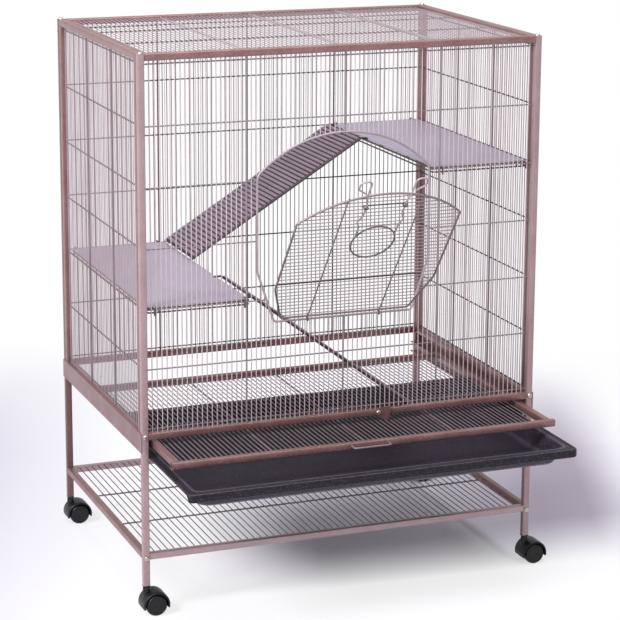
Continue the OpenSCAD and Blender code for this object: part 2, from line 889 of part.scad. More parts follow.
module grille_grid() {
  half = grille_half_w - grille_side_inset - tube;
  gaps = 4 * round(2 * half / wire_pitch / 4);
  step = 2 * half / gaps;
  y0 = grille_front + tube;
  y1 = grille_back - tube;
  z = grille_top - fine / 2;
  color("rosybrown") {
    for (k = [1 - gaps / 2 : gaps / 2 - 1]) {
      s = k % (gaps / 4) == 0 ? stiff : fine;
      bar([k * step - s / 2, y0, grille_top - s], [k * step + s / 2, y1, grille_top]);
    }
    for (t = [1 / 3, 2 / 3]) {
      y = y0 + t * (y1 - y0);
      bar([-half, y - tie / 2, z - fine / 2 + weld - tie], [half, y + tie / 2, z - fine / 2 + weld]);
    }
  }
}

module grille_handle() {
  color("rosybrown")
    translate([0, grille_front, grille_z + handle_lift])
      mirror([0, 1, 0])
        wire(flat(path_points([
          [-handle_w / 2, 0, 0], [-handle_w / 2, handle_reach, handle_bend_r],
          [handle_w / 2, handle_reach, handle_bend_r], [handle_w / 2, 0, 0]
        ])), handle_wire);
}

module rounded_plate(x1, y0, y1, r, h) {
  linear_extrude(h)
    hull()
      for (x = [-x1 + r, x1 - r], y = [y0 + r, y1 - r])
        translate([x, y])
          circle(r = r, $fn = 48);
}

module litter_tray() {
  y1 = tray_front + tray_len;
  out_x = tray_half_w - flange_w;
  color("dimgray")
    difference() {
      union() {
        translate([0, 0, flange_z])
          rounded_plate(tray_half_w, tray_front, y1, tray_corner_r, flange_t);
        intersection() {
          difference() {
            translate([0, 0, rim_z - lip_h])
              rounded_plate(tray_half_w, tray_front, y1, tray_corner_r, lip_h - flange_t / 2);
            translate([0, 0, rim_z - lip_h - 1])
              rounded_plate(tray_half_w - lip_t, tray_front + lip_t, y1 - lip_t,
                tray_corner_r - lip_t, lip_h + 2);
          }
          translate([-body_w, tray_front - 1, rim_z - lip_h - 1])
            cube([2 * body_w, lip_wrap + 1, lip_h + 2]);
        }
        tray_body(out_x, tray_front + flange_w, y1 - flange_w,
          tray_body_r, rim_z - tray_h, rim_z - flange_t / 2);
      }
      tray_body(out_x - tray_wall, tray_front + flange_w + tray_wall, y1 - flange_w - tray_wall,
        tray_body_r - tray_wall, rim_z - tray_h + tray_wall, rim_z + 2);
    }
}

// A tapered block with rounded corners, wider at the top
module tray_body(x1, y0, y1, r, z0, z1) {
  lean = tray_lean * (z1 - z0) / tray_h;
  hull() {
    translate([0, 0, z1 - 0.01])
      rounded_plate(x1, y0, y1, r, 0.01);
    translate([0, 0, z0])
      rounded_plate(x1 - lean, y0 + lean, y1 - lean, r, 0.01);
  }
}

// A plate on a screw: its wide end hangs below the rail, in front of the grille
module turn_latch() {
  low = catch_z - grille_top - catch_clear;
  color("rosybrown")
    translate([catch_x, -half_d - catch_face_gap, catch_z])
      rotate([90, 0, 0])
        difference() {
          union() {
            linear_extrude(catch_t) {
              circle(r = catch_disc_r, $fn = 48);
              polygon([
                [0, catch_disc_r], [catch_end_x, catch_high], [catch_end_x, 5 - low],
                [catch_end_x - 4, -low], [catch_end_x - 9, -low], [-2, -catch_disc_r + 0.5]
              ]);
            }
            translate([catch_end_x - catch_t, 5.5 - low, 0])
              cube([catch_t, low + catch_high - 5.5, catch_lip]);
          }
          translate([0, 0, -1])
            cylinder(h = catch_t + 2, d = screw_d + 2 * catch_bore_gap, $fn = 32);
        }
}

// ---------- platforms and ramps ----------

// Height of a platform's rim wires, from its cross wire
function deck_rim_z(row) = row_z(row) - rim_sink;
function deck_top_z(row) = deck_rim_z(row) + deck_rim_wire / 2 + sheet_t;

// The sheet of one platform, with notches for a ramp's hooks. sx is its side of the cage
module deck(sx, row, ramp_y) {
  color("lightsteelblue")
    mirror([sx < 0 ? 1 : 0, 0, 0])
      difference() {
        bar([deck_out + sheet_out, -deck_half_d + sheet_margin, deck_rim_z(row) + deck_rim_wire / 2],
          [deck_in + sheet_in, deck_half_d - sheet_margin, deck_top_z(row)]);
        for (s = [-1, 1])
          bar([deck_out - notch_lap, ramp_y + s * ramp_hook_y - notch_w / 2, row_z(row) - notch_d],
            [deck_out - notch_lap + notch_d, ramp_y + s * ramp_hook_y + notch_w / 2, row_z(row) + notch_d]);
      }
}

// The wire rim under one platform: two loops, struts, bearers and four hooks
module deck_rim(sx, row) {
  z = deck_rim_z(row);
  color("rosybrown")
    mirror([sx < 0 ? 1 : 0, 0, 0]) {
      translate([0, 0, z])
        round_loop(deck_out, deck_in, -deck_half_d, deck_half_d, deck_rim_r, deck_rim_wire);
      translate([0, 0, z - rim_drop])
        round_loop(deck_out, deck_in, -deck_half_d, deck_half_d, deck_rim_r, deck_low_wire);
      for (x = [deck_out + strut_in, deck_in - strut_in], y = [-deck_half_d, deck_half_d])
        rod([x, y, z - rim_drop], [x, y, z], deck_strut);
      for (y = [-deck_half_d / 2, 0, deck_half_d / 2])
        rod([deck_out, y, z], [deck_in, y, z], deck_bearer);
      for (x = [mid_gap(deck_out + deck_hook_out_x), mid_gap(deck_in - deck_hook_in_x)], sy = [-1, 1])
        translate([x, 0, z])
          mirror([0, sy < 0 ? 1 : 0, 0])
            rotate([90, 0, 90])
              wire(flat(path_points([
                [deck_half_d + 0.5, -1, 0],
                [deck_half_d + 1.5, deck_hook_z, 1.5],
                [deck_hook_y, deck_hook_z, 2.5],
                [deck_hook_y, -deck_hook_drop, 0]
              ])), deck_hook_wire);
    }
}

// Ramps turn on a platform's edge wire. Each lies in its own frame: hook at the origin, foot
// along +X. The sheet lies above the side wires.
module ramp_sheet() {
  z = ramp_run_z + ramp_side_wire / 2;
  half = ramp_w / 2;
  x0 = ramp_sheet_x + rib_start;
  color("lightsteelblue") {
    bar([ramp_sheet_x, -half, z], [ramp_len - ramp_sheet_end, half, z + sheet_t]);
    for (i = [0 : floor((ramp_len - ramp_sheet_x - rib_w - rib_end) / rib_pitch)])
      bar([x0 + i * rib_pitch, rib_side - half, z + sheet_t - rib_sink],
        [x0 + i * rib_pitch + rib_w, half - rib_side, z + sheet_t + rib_h]);
  }
}

// Two side wires with hooks at the top, tied by cross wires
module ramp_wires() {
  color("rosybrown") {
    for (s = [-1, 1])
      translate([0, s * ramp_hook_y, 0])
        rotate([90, 0, 0])
          wire(concat(
            [
              for (a = [90 + ramp_tip_turn : -ramp_tip_step : 90 + ramp_tip_step])
                ramp_hook_r * [cos(a), sin(a), 0]
            ],
            [[0, ramp_hook_r, 0], [ramp_jog, ramp_run_z, 0], [ramp_len, ramp_run_z, 0]]
          ), ramp_side_wire);
    for (x = [ramp_cross_top, ramp_len / 2, ramp_len - ramp_cross_foot])
      rod([x, -ramp_hook_y, ramp_run_z], [x, ramp_hook_y, ramp_run_z], ramp_cross_wire);
  }
}

module on_upper_edge() {
  translate([deck_out, ramp_high_y, deck_rim_z(upper_row)])
    rotate([0, 0, 180])
      rotate([0, upper_tilt, 0])
        children();
}

module on_lower_edge() {
  translate([-deck_out, ramp_low_y, deck_rim_z(lower_row)])
    rotate([0, lower_tilt, 0])
      children();
}

// ---------- fasteners and casters ----------

module top_screws() {
  color("silver")
    for (sx = [-1, 1], sy = [-1, 1])
      translate([sx * mid_w, sy * mid_d, body_h])
        screw_short(top_screw_len);
}

// A screw whose shank is cut to a length
module screw_short(depth) {
  intersection() {
    screw();
    translate([-10, -10, -depth])
      cube([20, 20, depth + 10]);
  }
}

module face_screws() {
  color("silver") {
    on_leg_faces()
      screw();
    translate([catch_x, -half_d - catch_face_gap - catch_t - catch_screw_gap, catch_z])
      rotate([90, 0, 0])
        screw();
  }
}

module leg_plugs() {
  bore = tube - 2 * tube_wall;
  color("#222222")
    for (sx = [-1, 1], sy = [-1, 1])
      translate([sx * mid_w, sy * mid_d, leg_z])
        difference() {
          union() {
            translate([-bore / 2, -bore / 2, 0])
              cube([bore, bore, plug_h]);
            translate([-tube / 2, -tube / 2, -lip_plate])
              cube([tube, tube, lip_plate]);
          }
          translate([0, 0, -lip_plate - 1])
            cylinder(h = plug_h, d = stem_d, $fn = 32);
        }
}

module caster_stems() {
  color("silver")
    for (sx = [-1, 1], sy = [-1, 1])
      translate([sx * mid_w, sy * mid_d, stem_low])
        cylinder(h = leg_z + plug_h - stem_top_gap - stem_low, d = stem_d, $fn = 32);
}

// Places its child at a caster's swivel axis, on the floor
module at_caster(sx, sy) {
  translate([sx * mid_w, sy * mid_d, 0])
    children();
}

module caster_hood(sx, sy) {
  r_in = wheel_d / 2 + hood_gap;
  r_out = r_in + hood_t;
  wide = rib_t + 2 * (wheel_w + wheel_gap + hood_side);
  axle_z = wheel_d / 2;
  color("#1c1c1e")
    at_caster(sx, sy)
      difference() {
        union() {
          translate([trail, wide / 2, axle_z])
            rotate([90, 0, 0])
              difference() {
                cylinder(h = wide, r = r_out, $fn = 96);
                translate([0, 0, -1])
                  cylinder(h = wide + 2, r = r_in, $fn = 96);
                translate([-2 * r_out, -3 * r_out - hood_open, -1])
                  cube([4 * r_out, 3 * r_out, wide + 2]);
              }
          translate([trail, rib_t / 2, axle_z])
            rotate([90, 0, 0])
              difference() {
                cylinder(h = rib_t, r = r_in + web_lap, $fn = 96);
                translate([-2 * r_out, -3 * r_out - web_open, -1])
                  cube([4 * r_out, 3 * r_out, rib_t + 2]);
              }
          translate([0, 0, axle_z + boss_rise])
            cylinder(h = leg_z - lip_plate - boss_gap - axle_z - boss_rise, d = stem_d + 2 * boss_wall,
              $fn = 48);
        }
        translate([0, 0, stem_low - stem_socket])
          cylinder(h = leg_z, d = stem_d + 2 * stem_gap, $fn = 32);
        translate([trail, rib_t, axle_z])
          rotate([90, 0, 0])
            cylinder(h = 2 * rib_t, d = axle_d, $fn = 32);
        for (s = [-1, 1])
          translate([trail, s * (rib_t / 2 + wheel_w / 2 + wheel_gap), axle_z])
            rotate([90, 0, 0])
              cylinder(h = wheel_w + 2 * wheel_gap, r = r_in, center = true, $fn = 96);
      }
}

module caster_axle(sx, sy) {
  color("silver")
    at_caster(sx, sy)
      translate([trail, rib_t / 2 + wheel_w - axle_end_in, wheel_d / 2])
        rotate([90, 0, 0])
          cylinder(h = rib_t + 2 * (wheel_w - axle_end_in), d = axle_d, $fn = 32);
}

module caster_wheels(sx, sy) {
  r = wheel_d / 2;
  bore_r = axle_d / 2 + axle_gap;
  color("#1c1c1e")
    at_caster(sx, sy)
      for (s = [-1, 1])
        translate([trail, 0, r])
          rotate([90 * s, 0, 0])
            translate([0, 0, rib_t / 2 + wheel_gap + hood_side])
              rotate_extrude($fn = 96)
                polygon([
                  [bore_r, 0], [r - tread_edge, 0], [r, tread_edge], [r, wheel_w - tread_round],
                  [r - tread_round, wheel_w], [r - disc_in, wheel_w],
                  [r - disc_in - disc_slope, wheel_w - disc_slope], [0, wheel_w - disc_slope],
                  [0, wheel_w - disc_t], [bore_r, wheel_w - disc_t]
                ]);
}

corner_post(-1, -1);  // post_front_left
corner_post(1, -1);  // post_front_right
corner_post(-1, 1);  // post_back_left
corner_post(1, 1);  // post_back_right
front_rails();
back_rails();
side_frame(-1);  // left_frame
side_frame(1);  // right_frame
top_frame();
base_channel(-1);  // base_channel_left
base_channel(1);  // base_channel_right
shelf_rails();
shelf_grid();
back_grid();
side_grid(-1);  // left_grid
side_grid(1);  // right_grid
top_grid();
front_grid_side(-1);  // front_grid_left
front_grid_side(1);  // front_grid_right
front_grid_above();
front_grid_below();
front_corner_wires();
door_ring();
door_rim();
door_grid();
door_latch();
grille_frame();
grille_grid();
grille_handle();
litter_tray();
turn_latch();
deck(1, upper_row, ramp_high_y);  // upper_deck
deck_rim(1, upper_row);  // upper_deck_rim
deck(-1, lower_row, ramp_low_y);  // lower_deck
deck_rim(-1, lower_row);  // lower_deck_rim
on_upper_edge() ramp_sheet();  // upper_ramp
on_upper_edge() ramp_wires();  // upper_ramp_wires
on_lower_edge() ramp_sheet();  // lower_ramp
on_lower_edge() ramp_wires();  // lower_ramp_wires
top_screws();
face_screws();
leg_plugs();
caster_stems();
caster_hood(-1, -1);  // hood_front_left
caster_hood(1, -1);  // hood_front_right
caster_hood(-1, 1);  // hood_back_left
caster_hood(1, 1);  // hood_back_right
caster_axle(-1, -1);  // axle_front_left
caster_axle(1, -1);  // axle_front_right
caster_axle(-1, 1);  // axle_back_left
caster_axle(1, 1);  // axle_back_right
caster_wheels(-1, -1);  // wheels_front_left
caster_wheels(1, -1);  // wheels_front_right
caster_wheels(-1, 1);  // wheels_back_left
caster_wheels(1, 1);  // wheels_back_right
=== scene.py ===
# %% [markdown]
# # A ferret cage on casters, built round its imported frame
# The real object is a welded wire cage on a square-tube stand. Everything is coated in a bronze
# hammered finish, apart from the moulded tray, the casters and the bright screws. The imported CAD
# model is a fixed frame that this lesson dresses: wires become round, tubes get rolled corners,
# plastic gets soft edges, and each finish is made from nodes.

# %% Load the frame and keep its size
import json
from math import acos, asin, atan2, ceil, cos, floor, hypot, pi, radians, sin, sqrt, tan

import bmesh
import bpy
import numpy as np
from mathutils import Matrix, Vector

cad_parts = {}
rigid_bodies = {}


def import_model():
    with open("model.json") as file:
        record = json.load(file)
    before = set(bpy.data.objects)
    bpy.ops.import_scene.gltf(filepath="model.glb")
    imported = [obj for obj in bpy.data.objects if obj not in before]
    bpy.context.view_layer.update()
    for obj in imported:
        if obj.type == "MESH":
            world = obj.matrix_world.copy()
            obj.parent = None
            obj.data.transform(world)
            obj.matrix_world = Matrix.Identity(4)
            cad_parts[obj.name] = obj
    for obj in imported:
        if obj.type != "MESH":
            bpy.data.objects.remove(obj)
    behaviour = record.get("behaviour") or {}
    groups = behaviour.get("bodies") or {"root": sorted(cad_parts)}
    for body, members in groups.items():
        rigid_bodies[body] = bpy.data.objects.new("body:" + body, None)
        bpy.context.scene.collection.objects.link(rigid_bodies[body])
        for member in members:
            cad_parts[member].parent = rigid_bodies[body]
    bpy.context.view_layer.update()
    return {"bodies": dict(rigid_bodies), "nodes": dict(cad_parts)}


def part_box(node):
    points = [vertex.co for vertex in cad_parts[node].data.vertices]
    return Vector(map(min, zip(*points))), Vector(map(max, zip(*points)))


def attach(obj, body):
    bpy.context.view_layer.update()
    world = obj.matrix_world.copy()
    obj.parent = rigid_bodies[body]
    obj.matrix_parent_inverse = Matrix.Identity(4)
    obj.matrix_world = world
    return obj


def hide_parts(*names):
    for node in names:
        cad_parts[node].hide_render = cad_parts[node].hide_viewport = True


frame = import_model()
print("bodies", sorted(frame["bodies"]))

# %% [markdown]
# ## Sizes
# The wires are drawn by the same rules that place them on the real cage: a panel is divided into
# equal gaps, and the cross wires into equal steps. All sizes here are in millimetres, and they turn
# into metres at the last moment, when a mesh is made.

# %% Sizes of the stand, the panels and the wires, in millimetres
MM = 0.001
HALF_W, HALF_D, TOP = 390.0, 270.0, 1031.0
TUBE, TUBE_WALL, TUBE_ROUND, BORE_ROUND, PLAY = 12.5, 1.0, 1.7, 0.5, 0.5
IN_W, IN_D = HALF_W - TUBE, HALF_D - TUBE
MID_W, MID_D = HALF_W - TUBE / 2, HALF_D - TUBE / 2
LEG_Z, SHELF_Z, BASE_Z = 56.0, 105.5, 332.5
FLOOR_Z, ROOF_Z = BASE_Z + TUBE, TOP - TUBE
FINE, CROSS, STIFF, THIN_ROD = 2.2, 2.6, 4.0, 3.0
WELD_SINK, WELD_SIZE = 0.35, 1.7
PANEL_GAPS, SIDE_GAPS, SHELF_GAPS, GRILLE_GAPS = 80, 51, 58, 76
PITCH = 2 * IN_W / PANEL_GAPS
ROW_TOP, ROW_SPAN, ROW_STEPS = 1012, 660.5, 6
ROWS = [ROW_TOP - i * ROW_SPAN / ROW_STEPS for i in range(ROW_STEPS + 1)]
SIDE_IN = IN_D - PLAY - TUBE
print("gap between two fine wires", round(PITCH, 3), "mm, cross wires at", [round(z) for z in ROWS])

# %% [markdown]
# ## Shader maths as plain expressions
# A finish is a small calculation on noise values. Wiring Math nodes by hand hides the calculation,
# so a value that comes out of a node is wrapped: adding or multiplying two wrapped values adds the
# node. Everything that is not arithmetic comes from one method, which sets a node's own settings
# first and then the values or links of its sockets.

# %% A wrapped socket and a small tree writer
class Value:
    """A number on a socket. Arithmetic on it adds Math nodes."""

    def __init__(self, tree, socket):
        self.tree, self.socket = tree, socket

    def math(self, operation, first, second, clamp=False):
        sockets = {0: first, 1: second}
        return self.tree.add("ShaderNodeMath", sockets, operation=operation, use_clamp=clamp)[0]

    def __add__(self, other):
        return self.math("ADD", self, other)

    def __sub__(self, other):
        return self.math("SUBTRACT", self, other)

    def __rsub__(self, other):
        return self.math("SUBTRACT", other, self)

    def __mul__(self, other):
        return self.math("MULTIPLY", self, other)

    def __truediv__(self, other):
        return self.math("DIVIDE", self, other)

    def __rtruediv__(self, other):
        return self.math("DIVIDE", other, self)

    def __pow__(self, other):
        return self.math("POWER", self, other)

    __radd__ = __add__
    __rmul__ = __mul__

    def clamped(self):
        return self.math("ADD", self, 0.0, clamp=True)


class Made:
    """A node that was just made. Indexing gives one of its outputs as a Value."""

    def __init__(self, tree, node):
        self.tree, self.node = tree, node

    def __getitem__(self, key):
        return Value(self.tree, self.node.outputs[key])


class Tree:
    """Writes nodes and links into one shader or geometry tree."""

    def __init__(self, nodes):
        self.nodes = nodes

    def add(self, kind, sockets=None, **settings):
        """Adds a node. Where a socket is given a whole node, it takes that node's first output."""
        node = self.nodes.nodes.new(kind)
        for name, setting in settings.items():
            setattr(node, name, setting)
        for key, value in (sockets or {}).items():
            value = value[0] if isinstance(value, Made) else value
            if isinstance(value, Value):
                self.nodes.links.new(value.socket, node.inputs[key])
            else:
                node.inputs[key].default_value = value
        return Made(self, node)

    def mix(self, factor, first, second):
        """A colour between two colours."""
        colours = [c if isinstance(c, Value) else (*c, 1) for c in (first, second)]
        sockets = {0: factor, 6: colours[0], 7: colours[1]}
        return self.add("ShaderNodeMix", sockets, data_type="RGBA")[2]


def srgb(*channels):
    """A colour of 0 to 255 a channel as the linear values that a shader wants."""
    shares = [c / 255 for c in channels]
    return tuple(((c + 0.055) / 1.055) ** 2.4 if c > 0.04 else c / 12.92 for c in shares)


print("tree writer ready")

# %% [markdown]
# ## Finishes
# The frame's coat is a hammered bronze: a dark brown base with a metal flake in it, and a surface
# that flows into shallow dimples a millimetre or two wide. The flake reflects the lamps, and the
# pale pink lilac of the pieces that face them is painted light: a mesh carries a number that mixes
# its coat towards a painted highlight colour, or towards a painted shade when the number is below
# zero;
# at zero the coat stays brown. The platforms wear the same flake in a cooler, smoother lilac grey.
# The tray is pressed charcoal plastic with a fine grain, and the casters are black moulded plastic.

# %% Helpers that start and end a material
def new_material(name):
    """An empty material with its tree writer and the object's own coordinates."""
    material = bpy.data.materials.new(name)
    material.use_nodes = True
    material.node_tree.nodes.clear()
    tree = Tree(material.node_tree)
    return material, tree, tree.add("ShaderNodeTexCoord")["Object"]


def noise(tree, place, scale, detail=2.0, rough=0.5):
    """Soft noise between 0 and 1, scale in waves per metre."""
    sockets = {"Vector": place, "Scale": scale, "Detail": detail, "Roughness": rough}
    return tree.add("ShaderNodeTexNoise", sockets)["Fac"]


def cells(tree, place, scale):
    """Rounded cells between 0 and 1, as in a hammered or grained surface."""
    sockets = {"Vector": place, "Scale": scale, "Smoothness": 0.7}
    return tree.add("ShaderNodeTexVoronoi", sockets, feature="SMOOTH_F1")["Distance"]


def carried(tree, name):
    """A number that the mesh carries on its points."""
    return tree.add("ShaderNodeAttribute", attribute_name=name)["Fac"]


def close_material(tree, sockets, height, bump, spread):
    """Ends a tree in a Principled shader whose normal is bumped by a height."""
    bumped = tree.add("ShaderNodeBump", {"Strength": bump, "Distance": spread, "Height": height})
    shader = tree.add("ShaderNodeBsdfPrincipled", {**sockets, "Normal": bumped})
    tree.add("ShaderNodeOutputMaterial", {"Surface": shader})


print("material helpers ready")

# %% Hammered bronze coat, for the tubes and the wires
# Painted light: the pale pink lilac is a painted highlight colour, and the near black is a painted
# shade colour.
PAINTED_HIGHLIGHT, PAINTED_SHADE = srgb(206, 190, 197), srgb(24, 14, 18)


def hammered_coat(name, dark, light, dimple, bump, gloss):
    """A metal-flake coat. dimple is the number of dimples in a metre."""
    material, tree, place = new_material(name)
    # The mesh's painted light number: above zero it mixes in the painted highlight, below zero the
    # painted shade.
    painted_light_amount = carried(tree, "pale")
    dimples = cells(tree, place, dimple)
    cloud = noise(tree, place, 22.0, 3.0)
    flake = noise(tree, place, 2600.0, 1.0)
    worn_and_lit = noise(tree, place, 160.0, 4.0, 0.65)
    patch = noise(tree, place, 320.0, 2.0, 0.6)
    shade = (0.5 * cloud + 0.8 * flake + 0.6 * patch + 0.35 * dimples - 0.7).clamped()
    coat = tree.mix(shade, srgb(*dark), srgb(*light))
    with_painted_highlight = tree.mix((painted_light_amount * (0.8 + 0.4 * cloud)).clamped(), coat, PAINTED_HIGHLIGHT)
    sockets = {
        "Base Color": tree.mix((-1.0 * painted_light_amount).clamped(), with_painted_highlight, PAINTED_SHADE),
        "Metallic": (0.3 + 0.3 * flake).clamped(),
        "Roughness": (gloss + 0.22 * worn_and_lit - 0.1 * dimples).clamped(),
        "Coat Weight": (0.1 + 0.25 * cloud).clamped(),
        "Coat Roughness": 0.22,
    }
    close_material(tree, sockets, dimples * 0.8 + flake * 0.2, bump, 0.0004)
    return material


COAT = hammered_coat("hammered_bronze", (104, 60, 52), (166, 135, 138), 420.0, 0.9, 0.3)
WIRE = hammered_coat("coated_wire", (52, 34, 40), (104, 80, 86), 900.0, 0.25, 0.36)
SHEET = hammered_coat("lilac_sheet", (164, 154, 172), (200, 191, 207), 500.0, 0.2, 0.42)
RAMP = hammered_coat("ramp_sheet", (128, 110, 124), (168, 152, 166), 500.0, 0.2, 0.42)
# Painted shade: the ramps' flat sheet between the ribs is coated near black, standing in for the
# shadow in the grooves.
GROOVE_PAINTED_SHADE = hammered_coat("ramp_groove", (40, 28, 34), (66, 50, 58), 500.0, 0.2, 0.6)
print("coats", COAT.name, WIRE.name, SHEET.name)

# %% Moulded plastics, for the tray and the casters
# The first colour is a painted highlight that also stands for rubbed edges; the second is real
# dust.
RUBBED_AND_HIGHLIGHT, DUST = srgb(112, 108, 120), srgb(150, 148, 158)


def moulded(name, dark, light, grain, bump, gloss, dust):
    """A moulded plastic. grain is the grain cells in a metre, dust how much light dust is on it. A
    number on the mesh's points mixes in painted highlights with rubbed edges, and painted shade
    below zero.
    """
    material, tree, place = new_material(name)
    leather = cells(tree, place, grain)
    cloud = noise(tree, place, 9.0, 4.0, 0.6)
    speck = noise(tree, place, 340.0, 3.0, 0.6)
    worn_and_lit = carried(tree, "wear")
    mottle = (0.5 * cloud + 0.35 * leather + 3.0 * speck - 1.6).clamped()
    base = tree.mix(mottle, srgb(*dark), srgb(*light))
    # Above zero the mesh's number mixes in the painted highlight with rubbing; below zero it mixes
    # in painted shade, down to the darkest tone.
    rubbed_lit_and_shaded = tree.mix((worn_and_lit * (0.2 + 0.9 * speck)).clamped(), base, RUBBED_AND_HIGHLIGHT)
    rubbed_lit_and_shaded = tree.mix((-1.0 * worn_and_lit).clamped(), rubbed_lit_and_shaded, srgb(*dark))
    sockets = {
        "Base Color": tree.mix(((speck - 0.56) * 6.0 * dust).clamped(), rubbed_lit_and_shaded, DUST),
        "Roughness": (gloss + 0.25 * cloud - 0.12 * leather).clamped(),
        "Specular IOR Level": 0.3,
    }
    close_material(tree, sockets, leather, bump, 0.0003)
    return material


TRAY = moulded("charcoal_tray", (14, 10, 16), (58, 48, 68), 600.0, 0.8, 0.42, 0.12)
BLACK = moulded("black_moulding", (20, 20, 22), (34, 34, 37), 2200.0, 0.18, 0.3, 0.02)
print("plastics", TRAY.name, BLACK.name)

# %% Bright plated steel, for screws, stems and axles
def plated(name, dark, light):
    """A zinc or nickel plate with faint turning marks."""
    material, tree, place = new_material(name)
    fleck = noise(tree, place, 700.0, 3.0, 0.6)
    marks = noise(tree, place, 4000.0, 1.0)
    sockets = {
        "Base Color": tree.mix(fleck, srgb(*dark), srgb(*light)),
        "Metallic": 1.0,
        "Roughness": (0.16 + 0.25 * fleck).clamped(),
    }
    close_material(tree, sockets, marks, 0.12, 0.0001)
    return material


STEEL = plated("plated_steel", (168, 160, 152), (226, 218, 206))
print("plate", STEEL.name)

# %% [markdown]
# ## Meshes under construction
# The solid pieces are sewn from rings of points. One helper sews two rings together, another sews a
# whole row of them, and a third turns the result into an object in metres. The last one says which
# body a piece rides on, and which CAD nodes it stands for.

# %% Helpers that make, finish and hand over a piece
def new_object(name, data):
    """An object in the scene that shows a mesh, a lamp or a camera."""
    made = bpy.data.objects.new(name, data)
    bpy.context.scene.collection.objects.link(made)
    return made


def new_piece(name, build, scale=MM):
    """Ends a mesh under construction and shows it as an object."""
    mesh = bpy.data.meshes.new(name)
    build.to_mesh(mesh)
    build.free()
    for vertex in mesh.vertices:
        vertex.co *= scale
    return new_object(name, mesh)


def points_piece(name, points, edges=()):
    """An object of bare points and edges, from points in millimetres."""
    mesh = bpy.data.meshes.new(name)
    mesh.from_pydata([Vector(p) * MM for p in points], edges, [])
    return new_object(name, mesh)


def bridge(build, a, b):
    """Faces between two rings of the same number of vertices."""
    for i in range(len(a)):
        j = (i + 1) % len(a)
        build.faces.new((a[i], a[j], b[j], b[i]))


def skin(build, rings, closed=False):
    """Faces along a row of rings. A row that isn't closed gets a cap at each end."""
    for a, b in zip(rings, rings[1:] + rings[: int(closed)]):
        bridge(build, a, b)
    if not closed:
        build.faces.new(rings[0])
        build.faces.new(rings[-1])


def smooth_by_angle(piece, degrees):
    """Turns the faces outwards and smooths them, apart from edges sharper than an angle."""
    piece.data.shade_smooth()
    build = bmesh.new()
    build.from_mesh(piece.data)
    bmesh.ops.recalc_face_normals(build, faces=build.faces[:])
    for edge in build.edges:
        edge.smooth = len(edge.link_faces) == 2 and edge.calc_face_angle(0) < radians(degrees)
    build.to_mesh(piece.data)
    build.free()


def solid(name, build, material, degrees=35, weld=True):
    """Turns a mesh under construction, in millimetres, into a smooth, coated object."""
    if weld:
        bmesh.ops.remove_doubles(build, verts=build.verts[:], dist=0.001)
    piece = new_piece(name, build)
    smooth_by_angle(piece, degrees)
    piece.data.materials.append(material)
    return piece


def join(piece, other):
    """Adds the mesh of another object to a piece, with its materials."""
    build = bmesh.new()
    build.from_mesh(piece.data)
    first, slots = len(build.faces), piece.data.materials
    build.from_mesh(other.data)
    build.faces.ensure_lookup_table()
    for face in build.faces[first:]:
        material = other.data.materials[face.material_index]
        if slots.find(material.name) < 0:
            slots.append(material)
        face.material_index = slots.find(material.name)
    bpy.data.objects.remove(other)
    build.to_mesh(piece.data)
    build.free()


def hand_over(piece, body, nodes):
    """Lets a piece ride on its body, and hides the CAD nodes it stands for."""
    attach(piece, body)
    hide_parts(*nodes)
    co = np.array([v.co for v in piece.data.vertices])
    boxes = np.array([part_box(n) for n in nodes])
    low, high = co.min(0) - boxes[:, 0].min(0), co.max(0) - boxes[:, 1].max(0)
    off = round(float(max(np.abs(low).max(), np.abs(high).max())) / MM, 2)
    print(piece.name, "on", body, len(piece.data.polygons), "faces, box off by", off, "mm")


print("mesh helpers ready")

# %% [markdown]
# ## Geometry Nodes for round wire
# Every wire, straight or bent, is a path with a thickness. The paths are made as bare edges, each
# point carrying its radius, and one node tree turns all of them into round wire: edges to curves,
# a circle swept along them, smooth shading, and the coat. One tree serves the whole cage, so a
# change in one place changes every wire.

# %% A writer for geometry trees and the step that turns a tree's result into a plain mesh
def geometry_tree(name, inputs):
    """A new geometry tree from (name, type, default) inputs. Gives its writer and its inputs."""
    group = bpy.data.node_groups.new(name, "GeometryNodeTree")
    tree = Tree(group)
    tree.keys = {}
    for label, kind, default in [("Geometry", "Geometry", None), *inputs]:
        kind = "NodeSocket" + kind
        socket = group.interface.new_socket(label, in_out="INPUT", socket_type=kind)
        if default is not None:
            socket.default_value = default
        tree.keys[label] = socket.identifier
    group.interface.new_socket("Geometry", in_out="OUTPUT", socket_type="NodeSocketGeometry")
    return tree, tree.add("NodeGroupInput")


def end_tree(tree, geometry, material, smooth=False):
    """Ends a tree in real, coated geometry."""
    real = tree.add("GeometryNodeRealizeInstances", {"Geometry": geometry})
    if smooth:
        real = tree.add("GeometryNodeSetShadeSmooth", {"Geometry": real})
    coated = tree.add("GeometryNodeSetMaterial", {"Geometry": real, "Material": material})
    tree.add("NodeGroupOutput", {"Geometry": coated})
    print("tree", tree.nodes.name, "with", len(tree.nodes.nodes), "nodes")


def grow(source, tree, values):
    """Runs a geometry tree on an object and keeps the result as its plain mesh."""
    modifier = source.modifiers.new("grow", "NODES")
    modifier.node_group = tree.nodes
    for label, value in values.items():
        modifier[tree.keys[label]] = value
    depsgraph = bpy.context.evaluated_depsgraph_get()
    evaluated = source.evaluated_get(depsgraph)
    mesh = bpy.data.meshes.new_from_object(evaluated, depsgraph=depsgraph)
    source.modifiers.clear()
    mesh.name = source.name
    source.data = mesh
    return source


print("geometry helpers ready")

